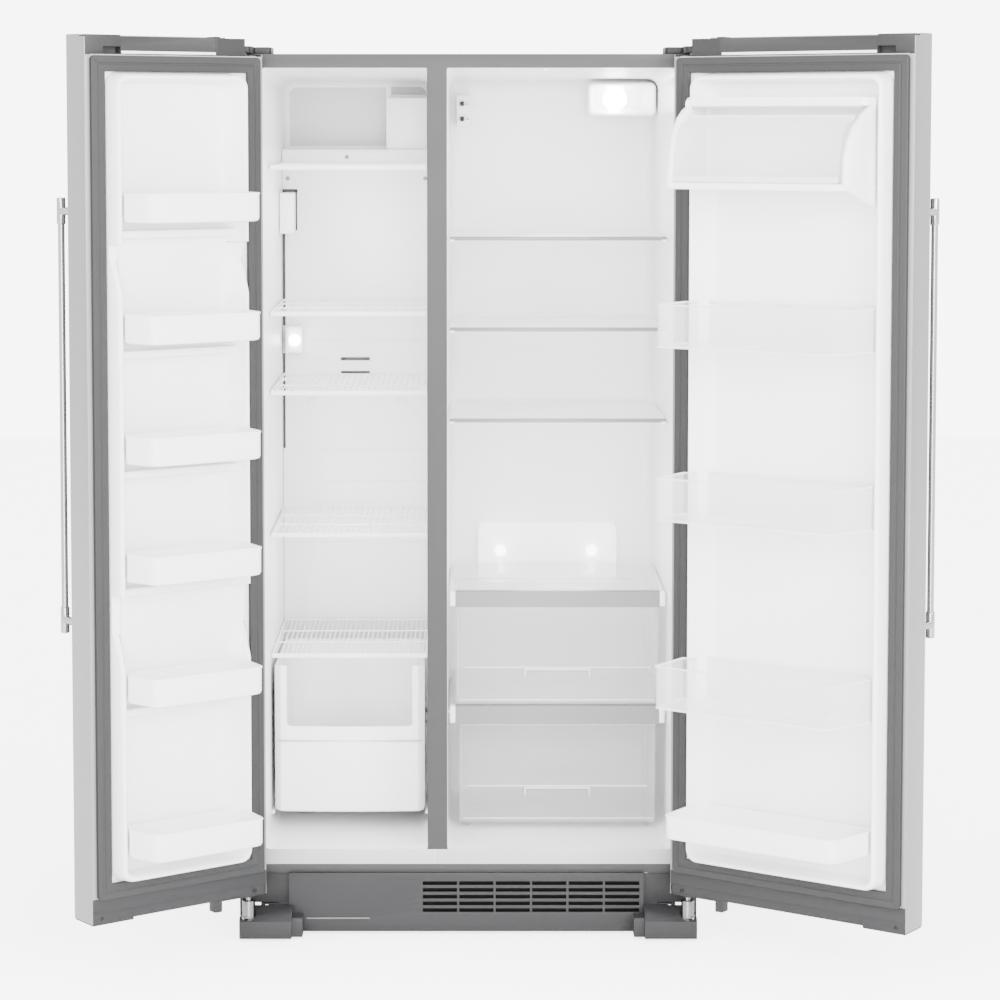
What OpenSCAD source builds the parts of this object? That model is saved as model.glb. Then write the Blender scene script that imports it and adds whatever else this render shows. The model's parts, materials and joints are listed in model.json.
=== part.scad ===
// Side by side refrigerator: a cabinet with a freezer on the left and a fresh food side on the right.
// Frame: +Z up, +X to the right, the doors face -Y. The origin is the centre of the cabinet's
// footprint on the floor. Millimetres.

/* [Cabinet] */
// Width of the cabinet
cab_w = 908; // [760:1:1100]
// Depth of the cabinet without the doors
cab_d = 737; // [610:1:890]
// Height of the cabinet's top
cab_h = 1743; // [1450:1:2100]
// Thickness of the steel sheet
sheet = 1.2; // [0.8:0.1:2]
// Thickness of each side wall with its foam
wall = 50; // [40:1:60]
// Height of the top rail above the opening
top_rail = 27; // [20:1:45]
// Width of the rail between the two compartments
mullion_w = 39; // [30:1:60]
// Centre of that rail, to the left of the cabinet's centre
mullion_off = 61; // [0:1:80]
// Thickness of the back wall with its foam
back_wall = 50; // [40:1:70]
// Thickness of the moulded plastic liners
liner_t = 2; // [1.5:0.1:3]

/* [Base] */
// Height of the underside of the cabinet's box
deck_z = 126; // [110:1:150]
// Height of the white sill above the lower rail
sill_h = 30; // [20:1:45]
// Height of the lower rail
rail_h = 15; // [10:1:25]
// Length of the machine compartment at the back
bay_l = 217; // [190:1:230]
// Height of the top of the machine compartment
bay_h = 296; // [270:1:330]
// Radius of a rear roller
roller_r = 25; // [18:1:28]
// Width of a rear roller
roller_w = 24; // [16:1:26]
// Distance of the rollers and legs from the cabinet's side
foot_in = 59; // [50:1:70]
// Number of louvre slots across the base grille
louvre_cols = 6; // [3:1:8]
// Number of louvre slots one above the other
louvre_rows = 5; // [2:1:6]

/* [Doors] */
// Thickness of a door
door_t = 73; // [60:1:76]
// Gap between a closed door and the cabinet
door_gap = 12; // [10:1:16]
// Gap between the two closed doors
split_gap = 4; // [3:1:8]
// Height of the underside of the doors
door_z0 = 97; // [92:1:110]
// Height of the door tops above the cabinet's top
door_over = 31; // [28:1:40]
// Opening angle of the freezer door as shown
freezer_open = 143; // [90:1:145]
// Opening angle of the fresh food door as shown
fridge_open = 145; // [90:1:145]
// Distance of the hinge pin from the cabinet's side
hinge_in = 21; // [18:1:24]
// Distance of the hinge pin from the cabinet's front
hinge_out = 44; // [40:1:50]
// Radius of the hinge pins
pin_r = 5; // [4:0.5:6]
// Width of the border outside the gasket
gasket_in = 9; // [8:1:12]
// Width of the gasket
gasket_w = 30; // [20:1:32]
// Depth of the raised ring on the inner face of a door
dike_h = 45; // [30:1:50]
// Width of the raised ring
dike_w = 16; // [12:1:20]
// Length of a handle
handle_l = 833; // [600:1:900]
// Distance of the handles' upper ends below the door tops
handle_drop = 306; // [100:1:450]
// Distance from the door to the middle of the handle's bar
handle_out = 60; // [45:1:75]
// Radius of the handle's bar
handle_r = 6.5; // [5:0.5:10]

/* [Shelves and drawers] */
// Distance of the shelf fronts behind the cabinet's front
shelf_front = 162; // [150:1:200]
// Depth of the shelves
shelf_d = 440; // [340:1:445]
// Places of the glass shelves between the crisper's rail, 0, and the ceiling, 1
glass_place = [0.681, 0.507, 0.332]; // [0.1:0.001:0.9]
// Thickness of the glass
glass_t = 4; // [3:0.5:6]
// Places of the wire shelves between the rack over the bin, 0, and the ceiling, 1
wire_place = [0.838, 0.589, 0.4535, 0.209]; // [0.1:0.001:0.9]
// Height of the rack over the freezer bin
rack_z = 534; // [480:1:600]
// Radius of the shelf wires
wire_r = 1.8; // [1.5:0.1:2.5]
// Height of the top of the upper crisper's rail
crisper1_z = 662; // [640:1:700]
// Height of the top of the lower crisper's rail
crisper2_z = 427; // [400:1:450]
// Depth of the upper crisper's rail, from its top to its lower edge
rail1_h = 33; // [24:1:40]
// Depth of the lower crisper's rail, from its top to its lower edge
rail2_h = 38; // [24:1:45]
// Side gap of what slides in a compartment
side_gap = 3; // [2:0.5:6]
// Thickness of the clear plastic
clear_t = 2.5; // [2:0.1:4]
// Depth of the clear door bins beyond the door's inner face
bin_p = 160; // [120:1:164]
// Depth of the dairy compartment and the lowest shelf beyond the door's inner face
dairy_p = 150; // [120:1:160]
// Reach of the clear door bins over the raised ring, at the hinge side
bin_over = 18.5; // [0:0.5:19]
// Narrowing of the clear door bins towards their fronts, at the free side
bin_taper = 31; // [20:1:50]
// Depth of the freezer door's shelves beyond the door's inner face
trivet_p = 125; // [90:1:130]
// Places of the tops of the clear door bins between the opening's floor, 0, and its top, 1
bin_place = [0.7107, 0.4977, 0.2647]; // [0.2:0.0001:0.8]
// Height of a clear door bin
bin_h = 84; // [60:1:100]
// Places of the tops of the freezer door's shelf fronts, on the same scale
trivet_place = [0.8466, 0.701, 0.5547, 0.411, 0.2628, 0.0725]; // [0.05:0.0001:0.9]
// Height of a freezer door shelf's front
trivet_h = 55; // [40:1:70]

/* [Fits] */
// Radial clearance of a pin in its bore
run_fit = 0.05; // [0.02:0.01:0.09]
// Clearance between parts that slide
slide_fit = 0.5; // [0.3:0.1:1]
// Clearance of the gasket from the cabinet's face, which it needs as the door turns
gasket_fit = 1.8; // [1.6:0.1:3]

/* [Hidden] */
$fn = 48;
eps = 0.01;
cut = 1;                                   // how far a cutting shape runs past a face
half_w = cab_w / 2;
front = -cab_d / 2;                        // the cabinet's front plane
inner_d = cab_d - back_wall - liner_t;     // depth of the compartments
open_z0 = deck_z + rail_h + sill_h;        // bottom and top of the openings
open_z1 = cab_h - top_rail;
open_h = open_z1 - open_z0;
glass_z = [for (s = glass_place) crisper1_z + s * (open_z1 - crisper1_z)];
wire_z = [for (s = wire_place) rack_z + s * (open_z1 - rack_z)];
bin_z = [for (s = bin_place) open_z0 + s * open_h];
trivet_z = [for (s = trivet_place) open_z0 + s * open_h];
frz_x0 = -half_w + wall + liner_t;         // inner faces of the freezer
frz_x1 = -mullion_off - mullion_w / 2;
fri_x0 = -mullion_off + mullion_w / 2;     // inner faces of the fresh food side
fri_x1 = half_w - wall;
ceiling_drop = 17;                         // the ceilings slope down to the back
bin_z0 = open_z0 + 37;                     // underside of the freezer bin
bay_y = cab_d - bay_l;                     // front of the machine compartment
bay_slope = 60;
floor_end = bay_y - 20;                    // end of the flat floor in the compartments
deck_t = 3;
side_z0 = 40;                              // lower edge of the cabinet's sides

frz_door_w = half_w - mullion_off - split_gap / 2;
fri_door_w = half_w + mullion_off - split_gap / 2;
door_z1 = cab_h + door_over;
back_z0 = door_z0 + 21;                    // lower and upper edge of a door's inner face
back_z1 = cab_h - 7;
pin_to_back = hinge_out - door_gap;        // from the hinge pin to the door's inner face
notch_w = hinge_in + 17;                   // the door is low here, under the hinge
notch_z = cab_h - 3;
face_t = 2.5;
skin_r = 6;
dike_in = gasket_in + gasket_w + 2;        // from the door's free edge to the ring
dike_hinge = wall + 6;                     // from the hinge edge to the ring
panel_z0 = open_z0 + 4;
panel_z1 = open_z1 - 14;
lip_w = gasket_in - 0.3;

foot_x = half_w - foot_in;                 // rails, legs and rollers
rail_gap = roller_w + 5;
rail_t = 3;
rail_top = 60;
leg_r = 18;
leg_y = 52;
roller_y = cab_d - 60;
axle_r = 4;
plate_t = 4;                               // hinge plates
lower_plate_z = 46;
pin_x = half_w - hinge_in;

evap_y = inner_d - 78;                     // front of the evaporator's cover
evap_z1 = cab_h - 224;
duct_z1 = cab_h - 190;
tower_z1 = cab_h - 79;
fan_z = 1170;
fan_x = (frz_x0 + frz_x1) / 2;
lamp_z0 = 600;
lamp_z1 = 735;

// ---- helpers -------------------------------------------------------------------------------

module box(x, y, z) {
    translate([x[0], y[0], z[0]]) cube([x[1] - x[0], y[1] - y[0], z[1] - z[0]]);
}

// everything on the cabinet is drawn with y counted from the cabinet's front plane
module in_cabinet() {
    translate([0, front, 0]) children();
}

module both_sides() {
    children();
    mirror([1, 0, 0]) children();
}

// a flat shape in X and Z, given thickness along Y
module slab(y) {
    translate([0, y[1], 0]) rotate([90, 0, 0]) linear_extrude(y[1] - y[0]) children();
}

// a flat shape in Y and Z, given length along X
module along_x(x) {
    translate([x[0], 0, 0]) rotate([90, 0, 90]) linear_extrude(x[1] - x[0]) children();
}

module round_rect(x, z, r) {
    translate([x[0] + r, z[0]]) square([x[1] - x[0] - 2 * r, z[1] - z[0]]);
    translate([x[0], z[0] + r]) square([x[1] - x[0], z[1] - z[0] - 2 * r]);
    for (cx = [x[0] + r, x[1] - r], cz = [z[0] + r, z[1] - r]) translate([cx, cz]) circle(r);
}

module rod_x(x, y, z, r) {
    translate([x[0], y, z]) rotate([0, 90, 0]) cylinder(h = x[1] - x[0], r = r);
}

module rod_y(x, y, z, r) {
    translate([x, y[0], z]) rotate([-90, 0, 0]) cylinder(h = y[1] - y[0], r = r);
}

// a door as it stands open: x runs from its hinge edge, y from its inner face towards the food
module on_door(side, angle) {
    mirror([side > 0 ? 1 : 0, 0, 0])
        translate([-pin_x, front - hinge_out, 0]) rotate([0, 0, -angle])
            translate([-hinge_in, pin_to_back, 0]) children();
}

module on_freezer_door() {
    on_door(-1, freezer_open) children();
}

module on_fridge_door() {
    on_door(1, fridge_open) children();
}

// ---- cabinet -------------------------------------------------------------------------------

module cabinet_shell() {
    color("DarkGray") in_cabinet() {
        difference() {
            box([-half_w, half_w], [0, cab_d - sheet], [side_z0, cab_h]);
            box([-half_w + sheet, half_w - sheet], [sheet, cab_d], [side_z0 - cut, cab_h - sheet]);
            box([-half_w - cut, half_w + cut], [-cut, sheet + eps], [side_z0 - cut, deck_z]);
            box([frz_x0, fri_x1], [-cut, sheet + cut], [deck_z + rail_h, open_z0]);
            for (x = [[frz_x0, frz_x1], [fri_x0, fri_x1]])
                box(x, [-cut, sheet + cut], [open_z0 - eps, open_z1]);
        }
    }
}

module rear_panel() {
    vent_pitch = 24;
    color("Gainsboro") in_cabinet() difference() {
        box([-half_w, half_w], [cab_d - sheet, cab_d], [side_z0, cab_h]);
        for (i = [0:15], z = [100, 150, 200])
            box([-200 + i * vent_pitch, -186 + i * vent_pitch], [cab_d - 2 * sheet, cab_d + cut], [z, z + 30]);
    }
}

function liner_outline(g) = [
    [sheet + (g > 0 ? 0 : -cut), open_z0 - g], [floor_end, open_z0 - g], [floor_end + bay_slope, bay_h + 4 - g],
    [inner_d + g, bay_h + 4 - g], [inner_d + g, open_z1 - ceiling_drop + g], [60, open_z1 + g],
    [sheet + (g > 0 ? 0 : -cut), open_z1 + g]];

// the moulded liner of one compartment, with the ledges that its shelves rest on
module liner(x, ledges, sill) {
    ledge_l = shelf_d - 60;
    union() {
        difference() {
            along_x([x[0] - liner_t, x[1] + liner_t]) polygon(liner_outline(liner_t));
            along_x(x) polygon(liner_outline(0));
        }
        for (z = ledges) {
            box([x[0] - eps, x[0] + 7], [shelf_front + 10, shelf_front + ledge_l], [z - 6, z]);
            box([x[1] - 7, x[1] + eps], [shelf_front + 10, shelf_front + ledge_l], [z - 6, z]);
        }
        box(sill, [0, 14], [deck_z + rail_h, open_z0 - eps]);
    }
}

module freezer_liner() {
    ledges = concat([for (z = concat(wire_z, [rack_z])) z - 2 * wire_r - slide_fit], [bin_z0 - slide_fit]);
    color("White") in_cabinet() liner([frz_x0, frz_x1], ledges, [frz_x0, -mullion_off]);
}

module fridge_liner() {
    ledges = concat([for (z = glass_z) z - glass_t - slide_fit],
        [crisper1_z - 12 - slide_fit, crisper2_z - 12 - slide_fit]);
    g = slide_fit;
    color("White") in_cabinet() difference() {
        liner([fri_x0, fri_x1], ledges, [-mullion_off, fri_x1]);
        box([switch_x[0] - g, switch_x[1] + g], [switch_y[0] - g, switch_y[1] + g], [open_z1 - cut, open_z1 + 9]);
    }
}

// ---- base ----------------------------------------------------------------------------------

module base_frame() {
    ear = rail_gap / 2;
    color("SlateGray") in_cabinet() {
        union() {
            both_sides() {
                box([foot_x - ear - rail_t, foot_x + ear + rail_t], [8, cab_d - 20], [rail_top - rail_t, rail_top]);
                for (x = [foot_x - ear - rail_t, foot_x + ear])
                    difference() {
                        box([x, x + rail_t], [8, cab_d - 20], [14, rail_top]);
                        box([x - cut, x + rail_t + cut], [90, roller_y - 60], [13, 34]);
                    }
                rod_x([foot_x - ear - rail_t, foot_x + ear + rail_t], roller_y, roller_r, axle_r);
                for (y = [24, roller_y - 40])
                    box([foot_x - ear, foot_x + ear], [y, y + 40], [rail_top - eps, deck_z - deck_t + eps]);
                translate([foot_x, leg_y, rail_top - eps]) cylinder(h = 10, r = 9);
            }
            for (y = [20, bay_y + 12, cab_d - 28])
                box([-foot_x, foot_x], [y, y + rail_t], [30, rail_top]);
            box([-foot_x, foot_x], [bay_y + 12, cab_d - 26], [rail_top - rail_t, rail_top]);
            box([-half_w + sheet, half_w - sheet], [sheet, bay_y], [deck_z - deck_t, deck_z]);
        }
    }
}

module base_grille() {
    x0 = -pin_x + 77;
    x1 = pin_x - 84;
    louvre_x0 = x0 + 266;
    pitch = (x1 - 5 - louvre_x0) / louvre_cols;
    row = 13.6;
    rim = 4;
    wing_z = [63, deck_z - deck_t - 1];        // the plates beside the grille, set back from the doors
    color("DimGray") in_cabinet() difference() {
        union() {
            box([x0, x1], [-8, 0], [7, deck_z - 1]);
            for (x = [[-half_w + 3, x0 + rim], [x1 - rim, half_w - 3]]) box(x, [2.5, 5], wing_z);
            for (x = [x0, x1 - rim]) box([x, x + rim], [-1, 5], wing_z);
        }
        box([x0 + rim, x1 - rim], [-4, 5 + cut], [11, deck_z - 5]);
        for (c = [0:louvre_cols - 1], r = [0:louvre_rows - 1])
            box([louvre_x0 + c * pitch, louvre_x0 + (c + 1) * pitch - 4.5], [-9, 0],
                [46 + r * row, 53.5 + r * row]);
        box([x0 + 34, x0 + 161], [-9, -6.8], [33, 36]);
    }
}

// the cover of a front foot and lower hinge, on the left; its top slopes down to the front
module foot_cover() {
    cover_out = hinge_out + 17;
    t = 2.5;
    x0 = -half_w + 3;
    x1 = -half_w + 106;
    back = -9;
    profile = [[-cover_out, 6], [back, 6], [back, 61], [-cover_out + 12, 52], [-cover_out, 40]];
    inner = [[-cover_out + t, 5], [back + cut, 5], [back + cut, 61 - t], [-cover_out + 12, 52 - t],
        [-cover_out + t, 40 - t]];
    difference() {
        union() {
            along_x([x0, x1]) polygon(profile);
            box([x1 - 5, x1 + 21], [-cover_out + 14, back - 1], [6, 44]);
        }
        along_x([x0 + t, x1 - t]) polygon(inner);
        box([x1 - t - cut, x1 + 21 - t], [-cover_out + 14 + t, back], [5, 44 - t]);
        translate([-pin_x, -hinge_out, 5]) cylinder(h = 80, r = 15.5);
        box([x0 - cut, -pin_x], [-hinge_out - 8, -hinge_out + 8], [34, 80]);
    }
}

module foot_covers() {
    color("Gray") in_cabinet() both_sides() foot_cover();
}

module leveling_legs() {
    color("Silver") in_cabinet() both_sides() translate([foot_x, leg_y, 0]) {
        cylinder(h = 8, r1 = leg_r, r2 = leg_r - 3);
        translate([0, 0, 8 - eps]) cylinder(h = rail_top - rail_t - 8 + eps, r = 6);
    }
}

module roller(side) {
    in_cabinet() difference() {
        rod_x([side * foot_x - roller_w / 2, side * foot_x + roller_w / 2], roller_y, roller_r, roller_r);
        rod_x([side * foot_x - roller_w, side * foot_x + roller_w], roller_y, roller_r, axle_r + run_fit);
    }
}

module rear_roller_left() {
    color("DimGray") roller(-1);
}

module rear_roller_right() {
    color("DimGray") roller(1);
}

// ---- hinges --------------------------------------------------------------------------------

module upper_hinges() {
    color("Silver") in_cabinet() both_sides() union() {
        linear_extrude_at(cab_h + 0.5, plate_t) {
            translate([-pin_x - 13, -hinge_out]) square([26, hinge_out + 70]);
            translate([-pin_x, -hinge_out]) circle(13);
            translate([-pin_x - 13, 30]) square([58, 70]);
        }
        translate([-pin_x, -hinge_out, notch_z - 24]) cylinder(h = cab_h + 1 - notch_z + 24, r = pin_r);
        translate([-pin_x + 10, 65, cab_h + plate_t]) cylinder(h = 5, r = 6, $fn = 6);
        translate([-pin_x + 32, 65, cab_h + plate_t]) cylinder(h = 5, r = 6, $fn = 6);
    }
}

module linear_extrude_at(z, h) {
    translate([0, 0, z]) linear_extrude(h) children();
}

module hinge_cover_outline(g) {
    translate([-pin_x, -hinge_out]) circle(15 - g);
    translate([-pin_x - 15 + g, -hinge_out]) square([30 - 2 * g, hinge_out + 30]);
    round_rect([-pin_x - 15 + g, -pin_x + 48 - g], [20 + g, 108 - g], 8 - g);
}

module hinge_covers() {
    t = 1.5;
    color("DimGray") in_cabinet() both_sides() difference() {
        linear_extrude_at(cab_h, 14) hinge_cover_outline(0);
        linear_extrude_at(cab_h - cut, 14 - t + cut) hinge_cover_outline(t);
        translate([-pin_x, -hinge_out, cab_h - cut]) cylinder(h = 5, r = 14);
    }
}

module lower_hinges() {
    z = lower_plate_z;
    color("Silver") in_cabinet() both_sides() union() {
        linear_extrude_at(z, plate_t) {
            translate([-pin_x - 14, -hinge_out]) square([28, hinge_out + 7]);
            translate([-pin_x, -hinge_out]) circle(14);
        }
        box([-pin_x - 14, -pin_x + 24], [3, 3 + plate_t], [20, z + plate_t]);
        translate([-pin_x, -hinge_out, z]) cylinder(h = 34, r = 13);
        translate([-pin_x, -hinge_out, z]) cylinder(h = door_z0 + 15 - z, r = pin_r);
    }
}

// ---- cooling -------------------------------------------------------------------------------

module compressor() {
    r = 75;
    h = 168;
    color("Black") in_cabinet() {
        translate([-210, bay_y + 112, rail_top]) {
            for (a = [45, 135, 225, 315]) rotate([0, 0, a]) translate([r + 4, 0, 0]) cylinder(h = 12, r = 10);
            translate([0, 0, 12]) {
                difference() {
                    union() {
                        linear_extrude(4) square([150, 150], center = true);
                        translate([0, 0, 3]) cylinder(h = h - 40, r = r);
                        translate([0, 0, h - 38]) intersection() {
                            sphere(r);
                            cylinder(h = 30, r = r);
                        }
                        translate([r - 8, -25, 40]) cube([34, 50, 60]);
                        translate([20, -20, h - 20]) cylinder(h = 40, r = 5);
                        translate([-20, 20, h - 20]) cylinder(h = 40, r = 4);
                    }
                    translate([r + 10, 0, 50]) rotate([0, 90, 0]) cylinder(h = 30, r = 5);
                }
            }
        }
    }
}

module half_turn(x, y, z, bend, side) {
    translate([x, y, z]) rotate([0, 0, side > 0 ? -90 : 90])
        rotate_extrude(angle = 180) translate([bend, 0]) circle(r = 3.2);
}

// a flat serpentine of steel tube under the deck
module condenser_coil() {
    bend = 18;
    runs = 10;
    y0 = 90;
    x = 330;
    z = 92;
    color("DimGray") in_cabinet() union() {
        for (i = [0:runs - 1]) rod_x([-x, x], y0 + i * 2 * bend, z, 3.2);
        for (i = [0:runs - 2]) {
            s = i % 2 == 0 ? 1 : -1;
            half_turn(s * x, y0 + (2 * i + 1) * bend, z, bend, s);
        }
        for (fx = [-240:120:240])
            box([fx - 4, fx + 4], [y0 - 10, y0 + (runs - 1) * 2 * bend + 10], [z - 1, z + 5]);
    }
}

module fan_blade(r, blades, width) {
    difference() {
        union() {
            translate([0, 0, -width / 2]) cylinder(h = width, r = r * 0.26);
            for (i = [0:blades - 1])
                rotate([0, 0, i * 360 / blades]) rotate([28, 0, 0])
                    translate([r * 0.2, -r * 0.17, -0.8]) cube([r * 0.74, r * 0.42, 1.6]);
        }
        translate([0, 0, -width]) cylinder(h = 2 * width, r = 2.5 + run_fit);
    }
}

module condenser_fan_motor() {
    y = bay_y + 112;
    z = rail_top + 108;
    color("DarkSlateGray") in_cabinet() union() {
        difference() {
            box([-60, -57], [y - 95, y + 85], [rail_top, z + 92]);
            translate([-61, y, z]) rotate([0, 90, 0]) cylinder(h = 6, r = 76);
        }
        rod_x([-20, 22], y, z, 28);
        rod_x([-50, -19], y, z, 2.5);
        for (a = [-8, 0]) box([2 + a, 8 + a], [y - 3, y + 3], [rail_top, z]);
    }
}

module condenser_fan_blade() {
    color("Gray") in_cabinet() translate([-36, bay_y + 112, rail_top + 108]) rotate([0, 90, 0]) fan_blade(70, 5, 16);
}

module drain_pan() {
    x = [60, 360];
    y = [bay_y + 30, cab_d - 32];
    color("DimGray") in_cabinet() difference() {
        box(x, y, [rail_top, rail_top + 50]);
        box([x[0] + 2, x[1] - 2], [y[0] + 2, y[1] - 2], [rail_top + 2, rail_top + 51]);
    }
}

module evaporator() {
    color("Silver") in_cabinet() union() {
        for (y = [evap_y + 26, evap_y + 54], z = [440:60:920])
            rod_x([frz_x0 + 12, frz_x1 - 12], y, z, 4);
        for (i = [0:13])
            box([frz_x0 + 22 + i * 20, frz_x0 + 22.6 + i * 20], [evap_y + 12, evap_y + 68], [420, 940]);
    }
}

module evaporator_fan_motor() {
    color("DimGray") in_cabinet() union() {
        rod_y(fan_x, [evap_y + 46, inner_d - slide_fit], fan_z, 24);
        rod_y(fan_x, [evap_y + 14, evap_y + 47], fan_z, 2.5);
    }
}

module evaporator_fan_blade() {
    color("White") in_cabinet() translate([fan_x, evap_y + 26, fan_z]) rotate([-90, 0, 0]) fan_blade(52, 4, 14);
}

module evaporator_cover() {
    t = 2.5;
    color("WhiteSmoke") in_cabinet() difference() {
        union() {
            box([frz_x0 + slide_fit, frz_x1 - slide_fit], [evap_y, evap_y + t], [bay_h + 10, evap_z1]);
            for (x = [frz_x0 + slide_fit, frz_x1 - slide_fit - t])
                box([x, x + t], [evap_y + t - eps, inner_d - 1], [bay_h + 10, evap_z1]);
        }
        for (z = [1069, 1099]) box([fan_x - 35, fan_x + 28], [evap_y - cut, evap_y + t + cut], [z - 3, z + 4]);
        for (i = [0:9])
            box([frz_x0 + 30 + i * 27, frz_x0 + 48 + i * 27], [evap_y - cut, evap_y + t + cut], [330, 350]);
    }
}

module air_duct_cover() {
    t = 2.5;
    ledge_y = evap_y - 14;
    tower_x = frz_x1 - 97;
    color("WhiteSmoke") in_cabinet() difference() {
        union() {
            box([frz_x0 + slide_fit, frz_x1 - slide_fit], [ledge_y, inner_d - 1], [evap_z1 + 0.3, duct_z1]);
            box([tower_x, frz_x1 - 8], [evap_y, inner_d - 1], [duct_z1 - 1, tower_z1]);
        }
        box([frz_x0 + slide_fit + t, frz_x1 - slide_fit - t], [ledge_y + t, inner_d - 1 + cut], [evap_z1 - 1, duct_z1 - t]);
        box([tower_x + t, frz_x1 - 8 - t], [evap_y + t, inner_d + cut], [duct_z1 - 8, tower_z1 - t]);
        box([tower_x + 20, frz_x1 - 30], [evap_y - cut, evap_y + t + cut], [tower_z1 - 30, tower_z1 - 16]);
    }
}

// ---- controls and lamps --------------------------------------------------------------------

switch_x = [148, 156];
switch_y = [16, 34];
control_x = [fri_x0 + 16, fri_x0 + 48];
control_y = inner_d - 30;
control_z = [cab_h - 141, cab_h - 74];

module control_housing() {
    color("White") in_cabinet() difference() {
        slab([control_y, inner_d - 1]) round_rect(control_x, control_z, 5);
        for (z = [control_z[0] + 16, control_z[1] - 18])
            box([control_x[0] + 6, control_x[1] - 6], [control_y - cut, control_y + 6], [z - 2, z + 2]);
    }
}

module slider_knob(z) {
    x = control_x[0] + 12;
    in_cabinet() union() {
        box([x - 4, x + 4], [control_y - 7, control_y - 0.3], [z - 5, z + 5]);
        box([x - 3, x + 3], [control_y - 0.31, control_y + 5], [z - 1.7, z + 1.7]);
    }
}

module freezer_slider() {
    color("DimGray") slider_knob(control_z[0] + 16);
}

module fridge_slider() {
    color("DimGray") slider_knob(control_z[1] - 18);
}

module lamp_housings() {
    t = 2.5;
    hx = [fri_x1 - 150, fri_x1 - 4];
    hz = open_z1 - ceiling_drop - 4;
    box_y = [inner_d - 190, inner_d - 125];
    color("White") in_cabinet() {
        difference() {
            slab([inner_d - 150, inner_d - 40]) round_rect(hx, [hz - 72, hz], 12);
            slab([inner_d - 151, inner_d - 46]) round_rect([hx[0] + t, hx[1] - t], [hz - 72 + t, hz - t], 10);
        }
        difference() {
            box([frz_x0 + 1, frz_x0 + 32], box_y, [cab_h - 369, cab_h - 282]);
            box([frz_x0, frz_x0 + 32 - t], [box_y[0] + t, box_y[1] - t], [cab_h - 369 + t, cab_h - 282 - t]);
        }
        difference() {
            box([frz_x0 + 8, frz_x0 + 44], [evap_y - 40, evap_y - 0.5], [1112, 1172]);
            box([frz_x0 + 8 + t, frz_x0 + 45], [evap_y - 41, evap_y - 3], [1112 + t, 1172 - t]);
        }
    }
}

module lamp_cover() {
    t = 2;
    x = [fri_x0 + 63, fri_x0 + 366];
    color("White", 0.6) in_cabinet() difference() {
        slab([inner_d - 34, inner_d - 1]) round_rect(x, [lamp_z0 + 5, lamp_z1], 16);
        slab([inner_d - 34 + t, inner_d]) round_rect([x[0] + t, x[1] - t], [lamp_z0 + 5 + t, lamp_z1 - t], 14);
    }
}

module bulb(x, y, z, r) {
    translate([x, y, z]) sphere(r);
    rod_y(x, [y + r * 0.8, y + r + 10], z, r * 0.45);
}

module lamp_bulbs() {
    color("Ivory") in_cabinet() {
        bulb(fri_x1 - 90, inner_d - 110, open_z1 - ceiling_drop - 38, 26);
        for (x = [fri_x0 + 112, fri_x0 + 312]) translate([x, inner_d - 17, 672]) sphere(13);
        bulb(frz_x0 + 28, evap_y - 30, 1142, 13);
    }
}

module light_switch() {
    color("White") in_cabinet() box(switch_x, switch_y, [open_z1 - 6, open_z1 + 10]);
}

// ---- freezer interior ----------------------------------------------------------------------

// a welded wire shelf: long wires front to back on cross rods, with a front bar
module wire_shelf(z, wires) {
    r = wire_r;
    x = [frz_x0 + side_gap, frz_x1 - side_gap];
    y = [shelf_front, evap_y - 24];
    pitch = (x[1] - x[0] - 16) / (wires - 1);
    zr = z - r;
    drop = 6;
    color("White") in_cabinet() union() {
        for (i = [0:wires - 1]) rod_y(x[0] + 8 + i * pitch, [y[0] + 2, y[1] - 2], zr - 1.4 * r, r * 0.9);
        for (cy = [y[0] + 3, y[0] + 150, y[0] + 300, y[1] - 3]) rod_x(x, cy, zr, r);
        rod_x([x[0] + 6, x[1] - 6], y[0] + 3, zr - drop, r);
        for (cx = [x[0] + 8, x[1] - 8]) translate([cx, y[0] + 3, zr - drop]) cylinder(h = drop, r = r);
        for (cx = [x[0] + 1.2 * r, x[1] - 1.2 * r]) rod_y(cx, y, zr, 1.2 * r);
    }
}

module freezer_shelf_1() { wire_shelf(wire_z[0], 13); }
module freezer_shelf_2() { wire_shelf(wire_z[1], 13); }
module freezer_shelf_3() { wire_shelf(wire_z[2], 13); }
module freezer_shelf_4() { wire_shelf(wire_z[3], 13); }
module freezer_rack() { wire_shelf(rack_z, 17); }

module freezer_bin() {
    x = [frz_x0 + side_gap + 2, frz_x1 - side_gap - 2];
    y = [shelf_front - 10, floor_end - 20];
    z = [bin_z0, rack_z - 24];
    t = 3;
    color("White") in_cabinet() difference() {
        box(x, y, z);
        box([x[0] + t, x[1] - t], [y[0] + t, y[1] - t], [z[0] + t, z[1] + cut]);
        slab([y[0] - cut, y[0] + t + 40]) round_rect([x[0] + 26, x[1] - 26], [z[0] + 178, z[1] + 60], 8);
        box([x[0] - cut, x[1] + cut], [y[0] - cut, y[0] + 1.2], [z[0] + 146, z[0] + 149]);
    }
}

// ---- fresh food interior -------------------------------------------------------------------

module glass_shelf(z) {
    x = [fri_x0 + side_gap, fri_x1 - side_gap];
    y = [shelf_front, shelf_front + shelf_d];
    color("LightCyan", 0.4) in_cabinet() {
        box(x, [y[0] + 8, y[1] - 8], [z - glass_t, z]);
        difference() {
            slab([y[0], y[0] + 14]) round_rect(x, [z - glass_t - 6, z + 2], 2);
            box([x[0] - cut, x[1] + cut], [y[0] + 8, y[0] + 15], [z - glass_t, z]);
            for (s = [[x[0] - cut, x[0] + 12], [x[1] - 12, x[1] + cut]])
                box(s, [y[0] + 8, y[0] + 15], [z - glass_t - 7, z - glass_t]);
        }
        difference() {
            slab([y[1] - 14, y[1]]) round_rect([x[0] + 12, x[1] - 12], [z - glass_t - 3, z + 3], 2);
            box([x[0], x[1]], [y[1] - 15, y[1] - 8], [z - glass_t, z]);
        }
    }
}

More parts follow.
